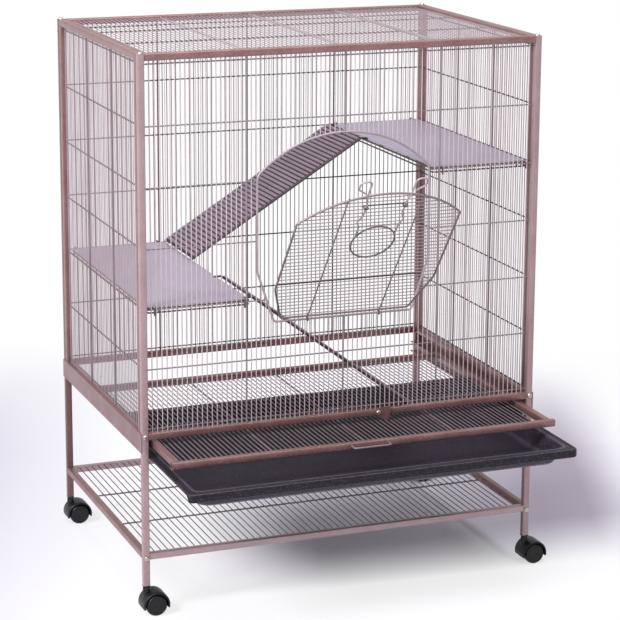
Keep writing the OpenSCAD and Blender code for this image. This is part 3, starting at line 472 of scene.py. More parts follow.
# %% The round-wire tree
wire_tree, given = geometry_tree("round_wire", [("Sides", "Int", 10), ("Coat", "Material", None)])
radius = wire_tree.add(
    "GeometryNodeInputNamedAttribute", {"Name": "wire_radius"}, data_type="FLOAT"
)
circle = wire_tree.add(
    "GeometryNodeCurvePrimitiveCircle", {"Resolution": given["Sides"], "Radius": 1.0}, mode="RADIUS"
)
sweep = {
    "Curve": wire_tree.add("GeometryNodeMeshToCurve", {"Mesh": given}),
    "Profile Curve": circle, "Scale": radius["Attribute"], "Fill Caps": True,
}
end_tree(wire_tree, wire_tree.add("GeometryNodeCurveToMesh", sweep), given["Coat"], smooth=True)

# %% [markdown]
# ## Weld spots
# Where two wires cross, the welder presses a hot spot that swells into the corner between them.
# It is a shape of a few millimetres that repeats thousands of times, so a node tree sets a small
# ball on each crossing.

# %% The weld-spot tree
inputs = [("Size", "Float", 0.0016), ("Coat", "Material", None)]
weld_tree, given = geometry_tree("weld_spots", inputs)
ball = weld_tree.add("GeometryNodeMeshIcoSphere", {"Radius": 1.0, "Subdivisions": 1})
spots = {"Points": given, "Instance": ball, "Scale": given["Size"]}
spots = weld_tree.add("GeometryNodeInstanceOnPoints", spots)
end_tree(weld_tree, spots, given["Coat"], smooth=True)

# %% [markdown]
# ## Paths
# Bent wires are drawn as corners with radii, as a wire bender would note them. A helper turns each
# corner into a run of short steps. A bundle collects the paths that move together, then grows them
# into one piece for one body.

# %% Corners with radii to points
def bent_path(corners, closed=False, sag=0.05):
    """Points along a path in a plane whose corners are (x, y, radius)."""
    points = []
    count = len(corners)
    for i, (x, y, bend) in enumerate(corners):
        here = Vector((x, y))
        if bend <= 0 or (not closed and i in (0, count - 1)):
            points.append((x, y))
            continue
        before = (Vector(corners[i - 1][:2]) - here).normalized()
        after = (Vector(corners[(i + 1) % count][:2]) - here).normalized()
        half = before.angle(after) / 2
        middle = here + (before + after).normalized() * bend / sin(half)
        start = here + before * bend / tan(half) - middle
        turn = pi - 2 * half
        if start.x * -before.y - start.y * -before.x < 0:
            turn = -turn
        steps = max(3, ceil(abs(turn) / (2 * acos(1 - sag / max(bend, 1.0)))))
        for k in range(steps + 1):
            c, s = cos(turn * k / steps), sin(turn * k / steps)
            spoke = Vector((start.x * c - start.y * s, start.x * s + start.y * c))
            points.append(tuple(middle + spoke))
    return points


def arc_section(corners):
    """A closed section with rounded corners, in finer steps than a wire's."""
    return bent_path(corners, closed=True, sag=0.03)


class Bundle:
    """Wires that move together. Points are in millimetres."""

    def __init__(self, name):
        self.name = name
        self.points, self.edges, self.radii, self.pale, self.spots = [], [], [], [], []

    def run(self, points, diameter, closed=False, pale=0.0):
        """Adds one wire through the points. Its painted light number mixes a painted highlight into
        its coat, or painted shade below zero.
        """
        first, count = len(self.points), len(points)
        self.points += [tuple(p) for p in points]
        self.radii += [diameter / 2] * count
        self.pale += [pale] * count
        self.edges += [(first + i, first + i + 1) for i in range(count - 1)]
        if closed:
            self.edges.append((first + count - 1, first))

    def spot(self, point):
        """Marks a weld spot."""
        self.spots.append(tuple(point))

    def piece(self, body, nodes, sides=12):
        """Grows the bundle into one piece that rides on a body and stands for CAD nodes."""
        wires = points_piece(self.name, self.points, self.edges)
        # Each point carries its wire radius and its painted light number.
        for name, values, unit in (("wire_radius", self.radii, MM), ("pale", self.pale, 1)):
            attribute = wires.data.attributes.new(name, "FLOAT", "POINT")
            attribute.data.foreach_set("value", np.array(values, np.float32) * unit)
        grow(wires, wire_tree, {"Sides": sides, "Coat": WIRE})
        if self.spots:
            welds = points_piece(self.name + "_welds", self.spots)
            join(wires, grow(welds, weld_tree, {"Size": WELD_SIZE * MM, "Coat": WIRE}))
        hand_over(wires, body, nodes)


print("path helpers ready")

# %% [markdown]
# ## The welded panels
# A panel is a row of fine upright wires with a few stronger ones, and cross wires welded behind
# them. The same helper draws the back, the sides and the front, because only its place differs. A
# cross wire's middle lies one wire behind, less what the weld sinks in.

# %% A welded panel in its own upright plane
BACK_OFF = FINE / 2 + CROSS / 2 - WELD_SINK
# Painted light on the panels' wires: the front panel's fine wires get the most painted sheen and
# the back panel's the least. The strong wires get part of their panel's share. The left panel's
# cross wires get painted shade, and the front panel's a little sheen.
STIFF_SLIM, STIFF_PAINTED_LIGHT = 0.6, 0.45
PANEL_SIZES_AND_LIGHT = {  # size of a panel's fine wires, how pale they are, and how pale its cross wires are
    "back": (1.8, 0.25, 0.0), "left": (1.7, 0.62, -0.6), "right": (1.8, 0.5, 0.0),
    "front": (2.0, 0.9, 0.3),
}
cage = Bundle("cage_wires")


def panel(place, columns, rows, x0, x1, sizes_and_light):
    """Columns are (x, low, high, diameter), rows heights. place turns (x, depth, z) to a point."""
    fine, pale, cross_painted_light = sizes_and_light
    for x, low, high, diameter in columns:
        strong = (diameter - STIFF_SLIM, STIFF_PAINTED_LIGHT * pale)
        size, shade = (fine, pale) if diameter == FINE else strong
        cage.run([place(x, 0, low), place(x, 0, high)], size, pale=shade)
    for z in rows:
        cage.run([place(x0, BACK_OFF, z), place(x1, BACK_OFF, z)], CROSS, pale=cross_painted_light)
        for x, low, high, diameter in columns:
            if low < z < high and x0 <= x <= x1:
                cage.spot(place(x, FINE / 2, z))


def thickness(k, gaps, share=4):
    """Every so many gaps the wire is a strong one."""
    return STIFF if k % (gaps // share) == 0 else FINE


def between(gaps):
    """Numbers of the wires that part a width into gaps, counted from its middle."""
    return range(1 - gaps // 2, gaps // 2)


back_columns = [
    (k * PITCH, FLOOR_Z, ROOF_Z, thickness(k, PANEL_GAPS)) for k in between(PANEL_GAPS)
]
panel(lambda x, y, z: (x, MID_D - y, z), back_columns, ROWS, -IN_W, IN_W, PANEL_SIZES_AND_LIGHT["back"])
side_columns = [
    (k * 2 * SIDE_IN / SIDE_GAPS - SIDE_IN, FLOOR_Z, ROOF_Z, thickness(k, SIDE_GAPS, 3))
    for k in range(1, SIDE_GAPS)
]
for s, side in ((-1, "left"), (1, "right")):
    panel(
        lambda x, y, z: (s * (MID_W - y), s * x, z),
        side_columns, ROWS, -SIDE_IN, SIDE_IN, PANEL_SIZES_AND_LIGHT[side],
    )
print("wires so far", len(cage.edges), "weld spots", len(cage.spots))

# %% [markdown]
# ## The door ring and the front panel
# The front panel has an arched hole for the door. One thick wire is bent into its ring: a level
# foot that is the door's hinge pin, two slanted corners, upright sides, and a shallow arch. The
# upright wires stop at the ring, so their ends follow its outline.

# %% Outline of the ring and of the door leaf
DOOR_Z, OPEN_HALF, OPEN_H = 530.0, 168.0, 342.0
RIM, ARCH_TURN, SHOULDER, CORNER, SIDE_BEND = 4.0, radians(43), 20.0, 8.0, 30.0
SLANT_H, SLANT_IN = 95.0, 32.0
SHOULDER_TAN = tan((pi / 2 - ARCH_TURN) / 2)
ARCH_RUN = OPEN_HALF / cos(ARCH_TURN) - SHOULDER * SHOULDER_TAN
ARCH_R = 0.985 * ARCH_RUN / tan(ARCH_TURN)


def outline_sizes(side, top_gap):
    """Half width, arch radius, shoulder radius, top, and the height where the slopes meet."""
    r, top = ARCH_R - side, OPEN_H - top_gap
    return OPEN_HALF - side, r, SHOULDER - side, top, top + r * (1 / cos(ARCH_TURN) - 1)


def outline(side, top_gap, foot):
    """Corners with radii of the ring, or of the leaf that lies inside it."""
    w, r, sr, _, apex = outline_sizes(side, top_gap)
    low = w - SLANT_IN * (SLANT_H - foot) / SLANT_H
    right = [(low, foot, CORNER), (w, SLANT_H, SIDE_BEND), (w, apex - w * tan(ARCH_TURN), sr)]
    return right + [(0, apex, r * 0.995)] + [(-x, v, bend) for x, v, bend in reversed(right)]


def half_width(v, side, top_gap):
    """Half the width of the outline at a height."""
    w, r, sr, top, apex = outline_sizes(side, top_gap)
    shoulder = apex - w * tan(ARCH_TURN) - sr * SHOULDER_TAN
    if v > top - r + r * cos(ARCH_TURN):
        return sqrt(max(0.0, r * r - (v - top + r) ** 2))
    if v > shoulder:
        return w - sr + sqrt(max(0.0, sr * sr - (v - shoulder) ** 2))
    return w if v > SLANT_H else w - SLANT_IN * (SLANT_H - v) / SLANT_H


def arch_height(x, side, top_gap):
    """Height of the outline's arch at x, by halving."""
    low, high = SLANT_H, OPEN_H - top_gap
    for _ in range(30):
        middle = (low + high) / 2
        inside = half_width(middle, side, top_gap) > abs(x)
        low, high = (middle, high) if inside else (low, middle)
    return low


print("arch radius", round(ARCH_R, 1), "mm, leaf top", round(arch_height(0, 13, 6), 1))

# %% Front panel wires round the ring
ring_low, ring_side = DOOR_Z - RIM / 2, OPEN_HALF + RIM / 2
slant_reach = RIM / 2 * hypot(SLANT_H, SLANT_IN) / SLANT_IN


def front(x, y, z):
    """A point of the front panel."""
    return (x, y - MID_D, z)


front_columns = []
for k in between(PANEL_GAPS):
    x, size = k * PITCH, thickness(k, PANEL_GAPS)
    if abs(x) > ring_side + 1:
        front_columns.append((x, FLOOR_Z, ROOF_Z, size))
        continue
    slant_top = SLANT_H * (abs(x) - OPEN_HALF + SLANT_IN) / SLANT_IN - slant_reach + 1.5
    corner_top = DOOR_Z + min(slant_top, SLANT_H - 3) if slant_top > RIM else ring_low + 0.6
    arch_foot = DOOR_Z + arch_height(min(abs(x), OPEN_HALF - 0.5), -RIM / 2, -RIM / 2) - 0.6
    front_columns += [(x, FLOOR_Z, corner_top, size), (x, arch_foot, ROOF_Z, size)]
high_rows = [z for z in ROWS if z > DOOR_Z + OPEN_H + RIM or z < ring_low - CROSS]
panel(front, front_columns, high_rows, -IN_W, IN_W, PANEL_SIZES_AND_LIGHT["front"])
for z in ROWS:
    if z in high_rows:
        continue
    start = half_width(z - DOOR_Z, 0, 0) + 1.6
    for s in (-1, 1):
        panel(front, [], [z], *sorted((s * start, s * IN_W)), PANEL_SIZES_AND_LIGHT["front"])
        for x, low, high, _ in front_columns:
            if s * x > start and low < z < high:
                cage.spot(front(x, FINE / 2, z))
print("front wires", len(front_columns), "cross wires beside the ring", len(ROWS) - len(high_rows))

# %% Roof wires, shelf wires and the cage's bundle
def level_grid(bundle, gaps, half_w, ends, wire, cross, spot_z):
    """A level grid. wire(k) gives a long wire's (size, z, painted light), cross the cross wires'
    own.
    """
    y0, y1 = ends
    thirds = [y0 + share * (y1 - y0) for share in (1 / 3, 2 / 3)]
    for k in between(gaps):
        x = k * (2 * half_w / gaps)
        size, z, pale = wire(k)
        bundle.run([(x, y0, z), (x, y1, z)], size, pale=pale)
        for y in thirds:
            bundle.spot((x, y, spot_z))
    size, z, pale = cross
    for y in thirds:
        bundle.run([(-half_w, y, z), (half_w, y, z)], size, pale=pale)


ROOF_BAR, ROOF_BAR_H = 6.0, 8
roof_in_w, roof_in_d = IN_W - PLAY - ROOF_BAR, IN_D - PLAY - ROOF_BAR
roof_z = TOP - ROOF_BAR_H / 2
# The roof's long wires get a painted sheen.
level_grid(
    cage, PANEL_GAPS, roof_in_w, (-roof_in_d, roof_in_d),
    lambda k: (thickness(k, PANEL_GAPS) - 0.2, roof_z, 0.6),
    (CROSS, roof_z - BACK_OFF, 0.0), roof_z - FINE / 2,
)
shelf_z, SHELF_FINE, SHELF_CROSS = SHELF_Z + TUBE - 3, 1.9, STIFF - 0.8
# The shelf's cross wires get a painted sheen.
level_grid(
    cage, SHELF_GAPS, IN_W, (-IN_D, IN_D), lambda k: (SHELF_FINE, shelf_z, 0.0),
    (SHELF_CROSS, shelf_z - (FINE + STIFF) / 2 + WELD_SINK, 0.3), shelf_z - FINE / 2,
)
grids = ["back_grid", "left_grid", "right_grid", "top_grid", "shelf_grid", "front_corner_wires"]
grids += ["front_grid_" + zone for zone in ("left", "right", "above", "below")]
cage.piece("cage", grids, sides=8)

# %% The ring
ring_wire = Bundle("door_ring_wire")
ring_points = [front(x, 0, DOOR_Z + v) for x, v in bent_path(outline(0, 0, 0), closed=True)]
# The ring gets a painted sheen.
ring_wire.run(ring_points, RIM, closed=True, pale=0.55)
ring_wire.piece("cage", ["door_ring"], sides=14)

# %% [markdown]
# ## The door leaf and its latch
# The leaf hangs from the ring's level foot by two eyes, bent from the ends of its uprights. In the
# photo it stands open, leaning forward by about 37 degrees. Everything on it is drawn in the leaf's
# own frame, x across, y behind it and v up it, and then turned into place.

# %% The leaf's rim and bars
LEAF_TURN = radians(37.5)
LEAF_SIDE, LEAF_TOP, LEAF_FOOT = 13.0, 6.0, 9.0
LEAF_BARS, LEAF_BAR, SHORTEST_BAR, UPRIGHT_X = 34, 1.9, 14, 7.5 * PITCH


def on_leaf(x, y, v):
    """A point of the leaf, turned forward about the hinge wire."""
    c, s = cos(LEAF_TURN), sin(LEAF_TURN)
    return (x, -MID_D + y * c - v * s, DOOR_Z + y * s + v * c)


leaf = Bundle("door_leaf")
leaf_points = bent_path(outline(LEAF_SIDE, LEAF_TOP, LEAF_FOOT), closed=True)
# The leaf's rim, bars and uprights get a painted sheen.
leaf.run([on_leaf(x, 0, v) for x, v in leaf_points], RIM, closed=True, pale=0.3)
first_fill = LEAF_FOOT + RIM / 2 + 5
for i in range(LEAF_BARS):
    v = first_fill + i * PITCH
    half = half_width(v, LEAF_SIDE, LEAF_TOP) - 0.8
    if half > SHORTEST_BAR:
        leaf.run([on_leaf(-half, 0, v), on_leaf(half, 0, v)], LEAF_BAR, pale=0.4)
        for s in (-1, 1):
            leaf.spot(on_leaf(s * UPRIGHT_X, FINE / 2, v))
print("leaf bars", len(leaf.edges) - len(leaf_points))

# %% Uprights that end in hinge eyes, and the guide wire that the latch turns on
EYE_R = RIM / 2 + 0.25 + CROSS / 2
upright_top = arch_height(UPRIGHT_X, LEAF_SIDE, LEAF_TOP) - 1
down = [(BACK_OFF, upright_top), (BACK_OFF, 19), (BACK_OFF + 0.7, 15), (EYE_R - 0.3, 8), (EYE_R, 4)]
for a in np.linspace(0, -1.55 * pi, 22):
    down.append((EYE_R * cos(a), EYE_R * sin(a)))
for s in (-1, 1):
    leaf.run([on_leaf(s * UPRIGHT_X, y, v) for y, v in down], CROSS, pale=0.3)
LATCH_WIRE, STAPLE, latch_out, arm_x, guide_v = 3.2, 2.6, 5.0, 37.0, first_fill + 31 * PITCH
staple_r = LATCH_WIRE / 2 + 0.8 + STAPLE / 2
guide_end = arm_x + staple_r
leaf.run([on_leaf(-guide_end, 0, guide_v), on_leaf(guide_end, 0, guide_v)], STAPLE)
for s in (-1, 1):
    bow = [(s * arm_x - staple_r, 0)]
    for a in np.linspace(0, pi, 13):
        bow.append((s * arm_x - staple_r * cos(a), -latch_out - staple_r * sin(a)))
    bow.append((s * arm_x + staple_r, 0))
    leaf.run([on_leaf(x, y, guide_v) for x, y in bow], STAPLE)
leaf.piece("door", ["door_rim", "door_grid"])

# %% The latch, one spring wire with a finger ring and two hooks
FINGER_R, FINGER_V, HOOK_TOP, LEAN = 41.0, 214.0, OPEN_H + 34.5, 4.5
latch = Bundle("door_latch_wire")
finger = []
for a in np.linspace(0, 2 * pi, 49)[:-1]:
    finger.append(on_leaf(FINGER_R * cos(a), -latch_out, FINGER_V + FINGER_R * sin(a)))
# The finger ring and the arms get a painted sheen, stronger on the arms.
latch.run(finger, LATCH_WIRE, closed=True, pale=0.2)
arm_foot = sqrt(FINGER_R**2 - 17**2)
hook_x = arm_x + LEAN
arm = [
    (arm_foot, FINGER_V + 17, 0), (arm_foot + 0.6, guide_v - 50, 4), (arm_x + 7, guide_v - 37, 4),
    (arm_x, guide_v - 22, 5), (arm_x, guide_v + 9, 12), (hook_x, guide_v + 30, 12),
    (hook_x, HOOK_TOP, 8), (hook_x + 22, HOOK_TOP, 9), (hook_x + 21, HOOK_TOP - 19, 6),
    (hook_x + 6, HOOK_TOP - 30, 0),
]
for s in (-1, 1):
    arm_points = [on_leaf(s * x, -latch_out, v) for x, v in bent_path(arm)]
    latch.run(arm_points, LATCH_WIRE, pale=0.6)
latch.piece("door_catch", ["door_latch"])

# %% [markdown]
# ## The floor grille's wires and handle
# The pull-out floor is a tube frame with wires close under its top, the same gaps as the panels,
# and a bent wire handle at the front.

# %% Grille wires
GRILLE_HALF, GRILLE_FRONT, GRILLE_Z, GRILLE_TOP = IN_W - 3.5, -398.0, 315.5, 322.55
GRILLE_SIDE, GRILLE_BACK = GRILLE_HALF - 5, GRILLE_FRONT + 2 * IN_D


def grille_wire(k):
    """Size, height and painted light of a grille wire. Their tops lie level."""
    size = thickness(k, GRILLE_GAPS)
    return size, GRILLE_TOP - size / 2, 0.28


grille = Bundle("grille_wires")
level_grid(
    grille, GRILLE_GAPS, GRILLE_SIDE - TUBE, (GRILLE_FRONT + TUBE, GRILLE_BACK - TUBE),
    grille_wire, (CROSS, GRILLE_TOP - FINE / 2 - BACK_OFF, 0.0), GRILLE_TOP - FINE,
)
handle = bent_path([(-36, -2, 0), (-36, 17, 5), (36, 17, 5), (36, -2, 0)])
handle = [(x, GRILLE_FRONT - y, GRILLE_Z + 0.6 * TUBE) for x, y in handle]
# The handle gets a painted sheen.
grille.run(handle, STIFF, pale=0.25)
grille.piece("grille_drawer", ["grille_grid", "grille_handle"], sides=10)

# %% [markdown]
# ## Platform rims and ramp wires
# Each platform's sheet lies on a rim of two wire loops, one above the other, with short struts
# between them and four hooks that hang over the panels' cross wires. A ramp's two side wires curl
# round the platform's edge wire, so the ramp can be lifted.

# %% Platform rims
DECK_W, DECK_IN, DECK_HALF, DECK_SAG = 192, IN_W - 5.5, IN_D - 4.5, 0.4
DECK_OUT = DECK_IN - DECK_W
UPPER_Z, LOWER_Z, RIM_DROP, STRUT = ROWS[2] - DECK_SAG, ROWS[4] - DECK_SAG, 7, 2.4
rims = Bundle("platform_wires")
hook_xs = [(floor(x / PITCH) + 0.5) * PITCH for x in (DECK_OUT + 14, DECK_IN - 8)]
hook_z, hook_y = DECK_SAG + CROSS / 2 + THIN_ROD / 2, MID_D + 4.2
hook = [(DECK_HALF + 0.5, -1, 0), (DECK_HALF + 1.5, hook_z, 2.2)]
hook = bent_path(hook + [(hook_y, hook_z, 2.5), (hook_y, -9, 0)])
for s, z in ((1, UPPER_Z), (-1, LOWER_Z)):
    loop = []
    for x, y in ((DECK_OUT, -1), (DECK_IN, -1), (DECK_IN, 1), (DECK_OUT, 1)):
        loop.append((s * x, y * DECK_HALF, 6))
    loop = bent_path(loop, closed=True)
    rims.run([(x, y, z) for x, y in loop], STIFF, closed=True)
    rims.run([(x, y, z - RIM_DROP) for x, y in loop], THIN_ROD, closed=True)
    for x in (DECK_OUT + 20, DECK_IN - 20):
        for y in (-DECK_HALF, DECK_HALF):
            rims.run([(s * x, y, z - RIM_DROP), (s * x, y, z)], STRUT)
    for y in (-DECK_HALF / 2, 0, DECK_HALF / 2):
        rims.run([(s * DECK_OUT, y, z), (s * DECK_IN, y, z)], THIN_ROD)
    for x in hook_xs:
        for side in (-1, 1):
            rims.run([(s * x, side * y, z + v) for y, v in hook], THIN_ROD)
rims.piece("cage", ["upper_deck_rim", "lower_deck_rim"])

# %% Ramps: their frames and their wires
RAMP_W, HOOK_R, LANDING, DECK_RISE = 176.0, STIFF + 0.1, 2.3, 3.2
RUN_Z = HOOK_R + 4.0
ramp_run, ramp_fall = 2 * DECK_OUT + 3, UPPER_Z - LOWER_Z - DECK_RISE - LANDING
reach = hypot(ramp_run, ramp_fall)
lift = asin(RUN_Z / reach)
RAMP_LEN = sqrt(reach**2 - RUN_Z**2)
upper_tilt = atan2(ramp_fall, ramp_run) + lift
lower_tilt = asin((LOWER_Z - GRILLE_TOP - LANDING) / reach) + lift
ramp_y = DECK_HALF - 8 - RAMP_W / 2


def ramp_frame(s, tilt, z):
    """Turns a ramp's own points into the cage: x down the ramp, z out of its face."""
    c, d = cos(tilt), sin(tilt)

    def place(x, y, up):
        return (s * (DECK_OUT - (x * c + up * d)), s * (ramp_y - y), z + (-x * d + up * c))

    return place


RAMPS = {
    "ramp_upper": (ramp_frame(1, upper_tilt, UPPER_Z), "upper_ramp"),
    "ramp_lower": (ramp_frame(-1, lower_tilt, LOWER_Z), "lower_ramp"),
}
curl = [(HOOK_R * cos(a), HOOK_R * sin(a)) for a in np.radians(np.arange(240, 100, -12))]
side_path = curl + bent_path([(0, HOOK_R, 0), (4, RUN_Z, 4), (RAMP_LEN, RUN_Z, 0)])
side_y = RAMP_W / 2 - 2
for body, (place, node) in RAMPS.items():
    wires = Bundle(body + "_wires")
    for s in (-1, 1):
        wires.run([place(x, s * side_y, z) for x, z in side_path], STIFF)
    for x in (16, RAMP_LEN / 2, RAMP_LEN - 6):
        wires.run([place(x, -side_y, RUN_Z), place(x, side_y, RUN_Z)], THIN_ROD)
    wires.piece(body, [node + "_wires"])

# %% [markdown]
# ## The ramps' ribbed sheets
# A ramp is a sheet pressed into close cross ribs, which give a small animal its grip. One rib is
# repeated down the length, so a node tree does it: a rounded flat profile swept across the ramp,
# set on a row of points. Its inputs are the rib's size, the pitch and the number of ribs.

# %% The rib tree
rib_tree, given = geometry_tree("ramp_ribs", [
    ("Count", "Int", 40), ("Pitch", "Float", 0.0095), ("Half length", "Float", 0.08),
    ("Width", "Float", 0.0064), ("Height", "Float", 0.0016), ("Coat", "Material", None),
])
along = rib_tree.add("ShaderNodeCombineXYZ", {"X": given["Pitch"]})
row = rib_tree.add(
    "GeometryNodeMeshLine", {"Count": given["Count"], "Offset": along}, mode="OFFSET"
)
ends = [
    rib_tree.add("ShaderNodeCombineXYZ", {"Y": given["Half length"] * sign}) for sign in (-1.0, 1.0)
]
spine = rib_tree.add(
    "GeometryNodeCurvePrimitiveLine", {"Start": ends[0], "End": ends[1]}, mode="POINTS"
)
flat_profile = rib_tree.add(
    "GeometryNodeCurvePrimitiveQuadrilateral",
    {"Width": given["Width"], "Height": given["Height"]}, mode="RECTANGLE",
)
fillet = {"Curve": flat_profile, "Count": 3, "Radius": given["Height"] * 0.45, "Limit Radius": True}
soft_profile = rib_tree.add("GeometryNodeFilletCurve", fillet, mode="POLY")
sweep = {"Curve": spine, "Profile Curve": soft_profile, "Fill Caps": True}
one_rib = rib_tree.add("GeometryNodeCurveToMesh", sweep)
ribs = rib_tree.add("GeometryNodeInstanceOnPoints", {"Points": row, "Instance": one_rib})
end_tree(rib_tree, ribs, given["Coat"])

# %% Plates with soft edges, and the two ribbed sheets
def plate(name, low, high, soft, scale=MM):
    """A box with rounded edges, in millimetres unless the scale is 1."""
    build = bmesh.new()
    bmesh.ops.create_cube(build, size=1.0)
    for vertex in build.verts:
        vertex.co = [(a + b) / 2 + c * (b - a) for a, b, c in zip(low, high, vertex.co)]
    edges = build.edges[:]
    bmesh.ops.bevel(build, geom=edges, offset=soft, segments=2, profile=0.6, affect="EDGES")
    return new_piece(name, build, scale)


SHEET_T, RIB_PITCH, RIB_W, RIB_H = 1.2, 9.5, 6.4, 1.6
FACE_Z = RUN_Z + 2 + SHEET_T
rib_count = floor((RAMP_LEN - 8 - RIB_W - 3) / RIB_PITCH) + 1
rib_sizes = {
    "Count": rib_count, "Pitch": RIB_PITCH, "Half length": side_y, "Width": RIB_W,
    "Height": 2 * RIB_H, "Coat": RAMP,
}
for body, (place, node) in RAMPS.items():
    low, high = (8, -RAMP_W / 2, RUN_Z + 2), (RAMP_LEN - 1, RAMP_W / 2, FACE_Z)
    sheet = plate(body + "_sheet", low, high, 0.4, scale=1)
    sheet.data.materials.append(RAMP)
    sheet.data.materials.append(GROOVE_PAINTED_SHADE)
    # The sheet's upper face, seen only between the ribs, takes the painted groove shade.
    for face in sheet.data.polygons:
        face.material_index = 1 if face.normal.z > 0.9 else 0
    rib_row = grow(points_piece("ribs", []), rib_tree, rib_sizes)
    for vertex in rib_row.data.vertices:
        vertex.co += Vector((9 + RIB_W / 2, 0, FACE_Z))
        vertex.co.z = max(vertex.co.z, FACE_Z - 0.3)
    join(sheet, rib_row)
    for vertex in sheet.data.vertices:
        vertex.co = Vector(place(*vertex.co)) * MM
    smooth_by_angle(sheet, 40)
    hand_over(sheet, body, [node])

# %% [markdown]
# ## Square tubes
# A rolled steel tube has rounded corners, and the highlight on them is what makes it read as tube
# and not as a block. Each tube is a rounded square, swept between two points, with a wall, so its
# open ends look open. The same helper makes every tube of the stand, the frames and the grille.

# %% A tube between two points
def rounded_square(bend, steps=3):
    """Points round a square of half width 1 with rounded corners."""
    points = []
    for quarter, (u, v) in enumerate(((1, 1), (-1, 1), (-1, -1), (1, -1))):
        for k in range(steps + 1):
            a = pi / 2 * (quarter + k / steps)
            points.append((u - bend * (u - cos(a)), v - bend * (v - sin(a))))
    return points


def add_tube(build, low, high, axis, capped=(False, False), pale=0.0):
    """A square tube that fills the box from low to high, hollow along the axis."""
    # Every point of the tube carries its painted light number.
    shade = build.verts.layers.float.get("pale") or build.verts.layers.float.new("pale")
    others = [i for i in range(3) if i != axis]
    middle = [(low[i] + high[i]) / 2 for i in others]
    half = [(high[i] - low[i]) / 2 for i in others]

    def ring(bend, along, shrink):
        made = []
        for u, v in rounded_square(bend / half[0]):
            point = [0.0, 0.0, 0.0]
            point[axis] = along
            point[others[0]] = middle[0] + u * (half[0] - shrink)
            point[others[1]] = middle[1] + v * (half[1] - shrink)
            made.append(build.verts.new(point))
            made[-1][shade] = pale
        return made

    outer = [ring(TUBE_ROUND, end, 0) for end in (low[axis], high[axis])]
    if all(capped):
        skin(build, outer)
        return
    bridge(build, *outer)
    insides = (low[axis] + 2 * TUBE_WALL * capped[0], high[axis] - 2 * TUBE_WALL * capped[1])
    inner = [ring(BORE_ROUND, end, TUBE_WALL) for end in insides]
    bridge(build, *inner)
    for k in (0, 1):
        if capped[k]:
            build.faces.new(outer[k])
            build.faces.new(inner[k])
        else:
            bridge(build, outer[k], inner[k])


def tubes_piece(name, boxes, body, nodes):
    """One piece from many tubes: (low, high, axis, capped, painted light) each, in millimetres."""
    build = bmesh.new()
    for entry in boxes:
        add_tube(build, *entry)
    hand_over(solid(name, build, COAT, 50, weld=False), body, nodes)


print("tube helper ready")

# %% Posts, rails, side frames and shelf rails
# Painted light on the stand: the front posts are painted paler as if lit, and the back-left post is
# darker as painted shade. The front and back shelf rails are paler as a painted sheen.
POST_PAINTED_LIGHT = {(-1, -1): 0.35, (1, -1): 0.28, (-1, 1): -0.35, (1, 1): 0.0}
SHELF_PAINTED_LIGHT, frame_y = 0.4, IN_D - PLAY
stand = []
for sx in (-1, 1):
    x0, x1 = sorted((sx * IN_W, sx * HALF_W))
    for sy in (-1, 1):
        y0, y1 = sorted((sy * IN_D, sy * HALF_D))
        stand.append(((x0, y0, LEG_Z), (x1, y1, TOP), 2, (False, True), POST_PAINTED_LIGHT[sx, sy]))
    for z in (BASE_Z, ROOF_Z):
        stand.append(((x0, -frame_y, z), (x1, frame_y, z + TUBE), 1))
    for y in (-frame_y, frame_y - TUBE):
        stand.append(((x0, y, FLOOR_Z), (x1, y + TUBE, ROOF_Z), 2))
    stand.append(((x0, -IN_D, SHELF_Z), (x1, IN_D, SHELF_Z + TUBE), 1))
for y in (-HALF_D, IN_D):
    for z, pale in ((SHELF_Z, SHELF_PAINTED_LIGHT), (BASE_Z, 0.0), (ROOF_Z, 0.0)):
        stand.append(((-IN_W, y, z), (IN_W, y + TUBE, z + TUBE), 0, (False, False), pale))
stand_nodes = [f"post_{a}_{b}" for a in ("front", "back") for b in ("left", "right")]
stand_nodes += ["front_rails", "back_rails", "left_frame", "right_frame", "shelf_rails"]
tubes_piece("stand_tubes", stand, "cage", stand_nodes)

# %% The grille's frame and the roof's frame
gx, gy, gz = GRILLE_SIDE, GRILLE_FRONT + TUBE, GRILLE_Z + TUBE
grille_boxes = [
    ((-GRILLE_HALF, GRILLE_FRONT, GRILLE_Z), (GRILLE_HALF, gy, gz), 0),
    ((-gx, GRILLE_BACK - TUBE, GRILLE_Z), (gx, GRILLE_BACK, gz), 0),
]
for x in (-gx, gx - TUBE):
    grille_boxes.append(((x, gy, GRILLE_Z), (x + TUBE, GRILLE_BACK - TUBE, gz), 1))
tubes_piece("grille_tubes", grille_boxes, "grille_drawer", ["grille_frame"])
rx, ry, bar_z, both = IN_W - PLAY, IN_D - PLAY, TOP - ROOF_BAR_H, (True, True)
roof_boxes = []
for y in (-ry, roof_in_d):
    roof_boxes.append(((-rx, y, bar_z), (rx, y + ROOF_BAR, TOP), 0, both))
for x in (-rx, roof_in_w):
    roof_boxes.append(((x, -roof_in_d, bar_z), (x + ROOF_BAR, roof_in_d, TOP), 1, both))
tubes_piece("roof_bars", roof_boxes, "cage", ["top_frame"])

# %% [markdown]
# ## The litter tray
# The tray is one vacuum-formed sheet of plastic: a flat flange, a lip turned down at the front, and
# a leaning wall that runs into the floor through a soft bend. It is lofted from rounded rectangles,
# one for each step of its section. Only the front has the deep lip, so the lip's depth depends on
# how far back a point is.

# %% Rounded rectangle loops
TRAY_HALF, TRAY_FRONT, TRAY_BACK = IN_W - 2.5, -492.0, 18.0
TRAY_RIM, LIP, FLANGE_T, LIP_WRAP, LIP_FADE = 299.5, 15.0, 4.0, 12.0, 8
TRAY_FLOOR, TRAY_WALL = 265.5, 2.6
CORNER_STEPS = 8


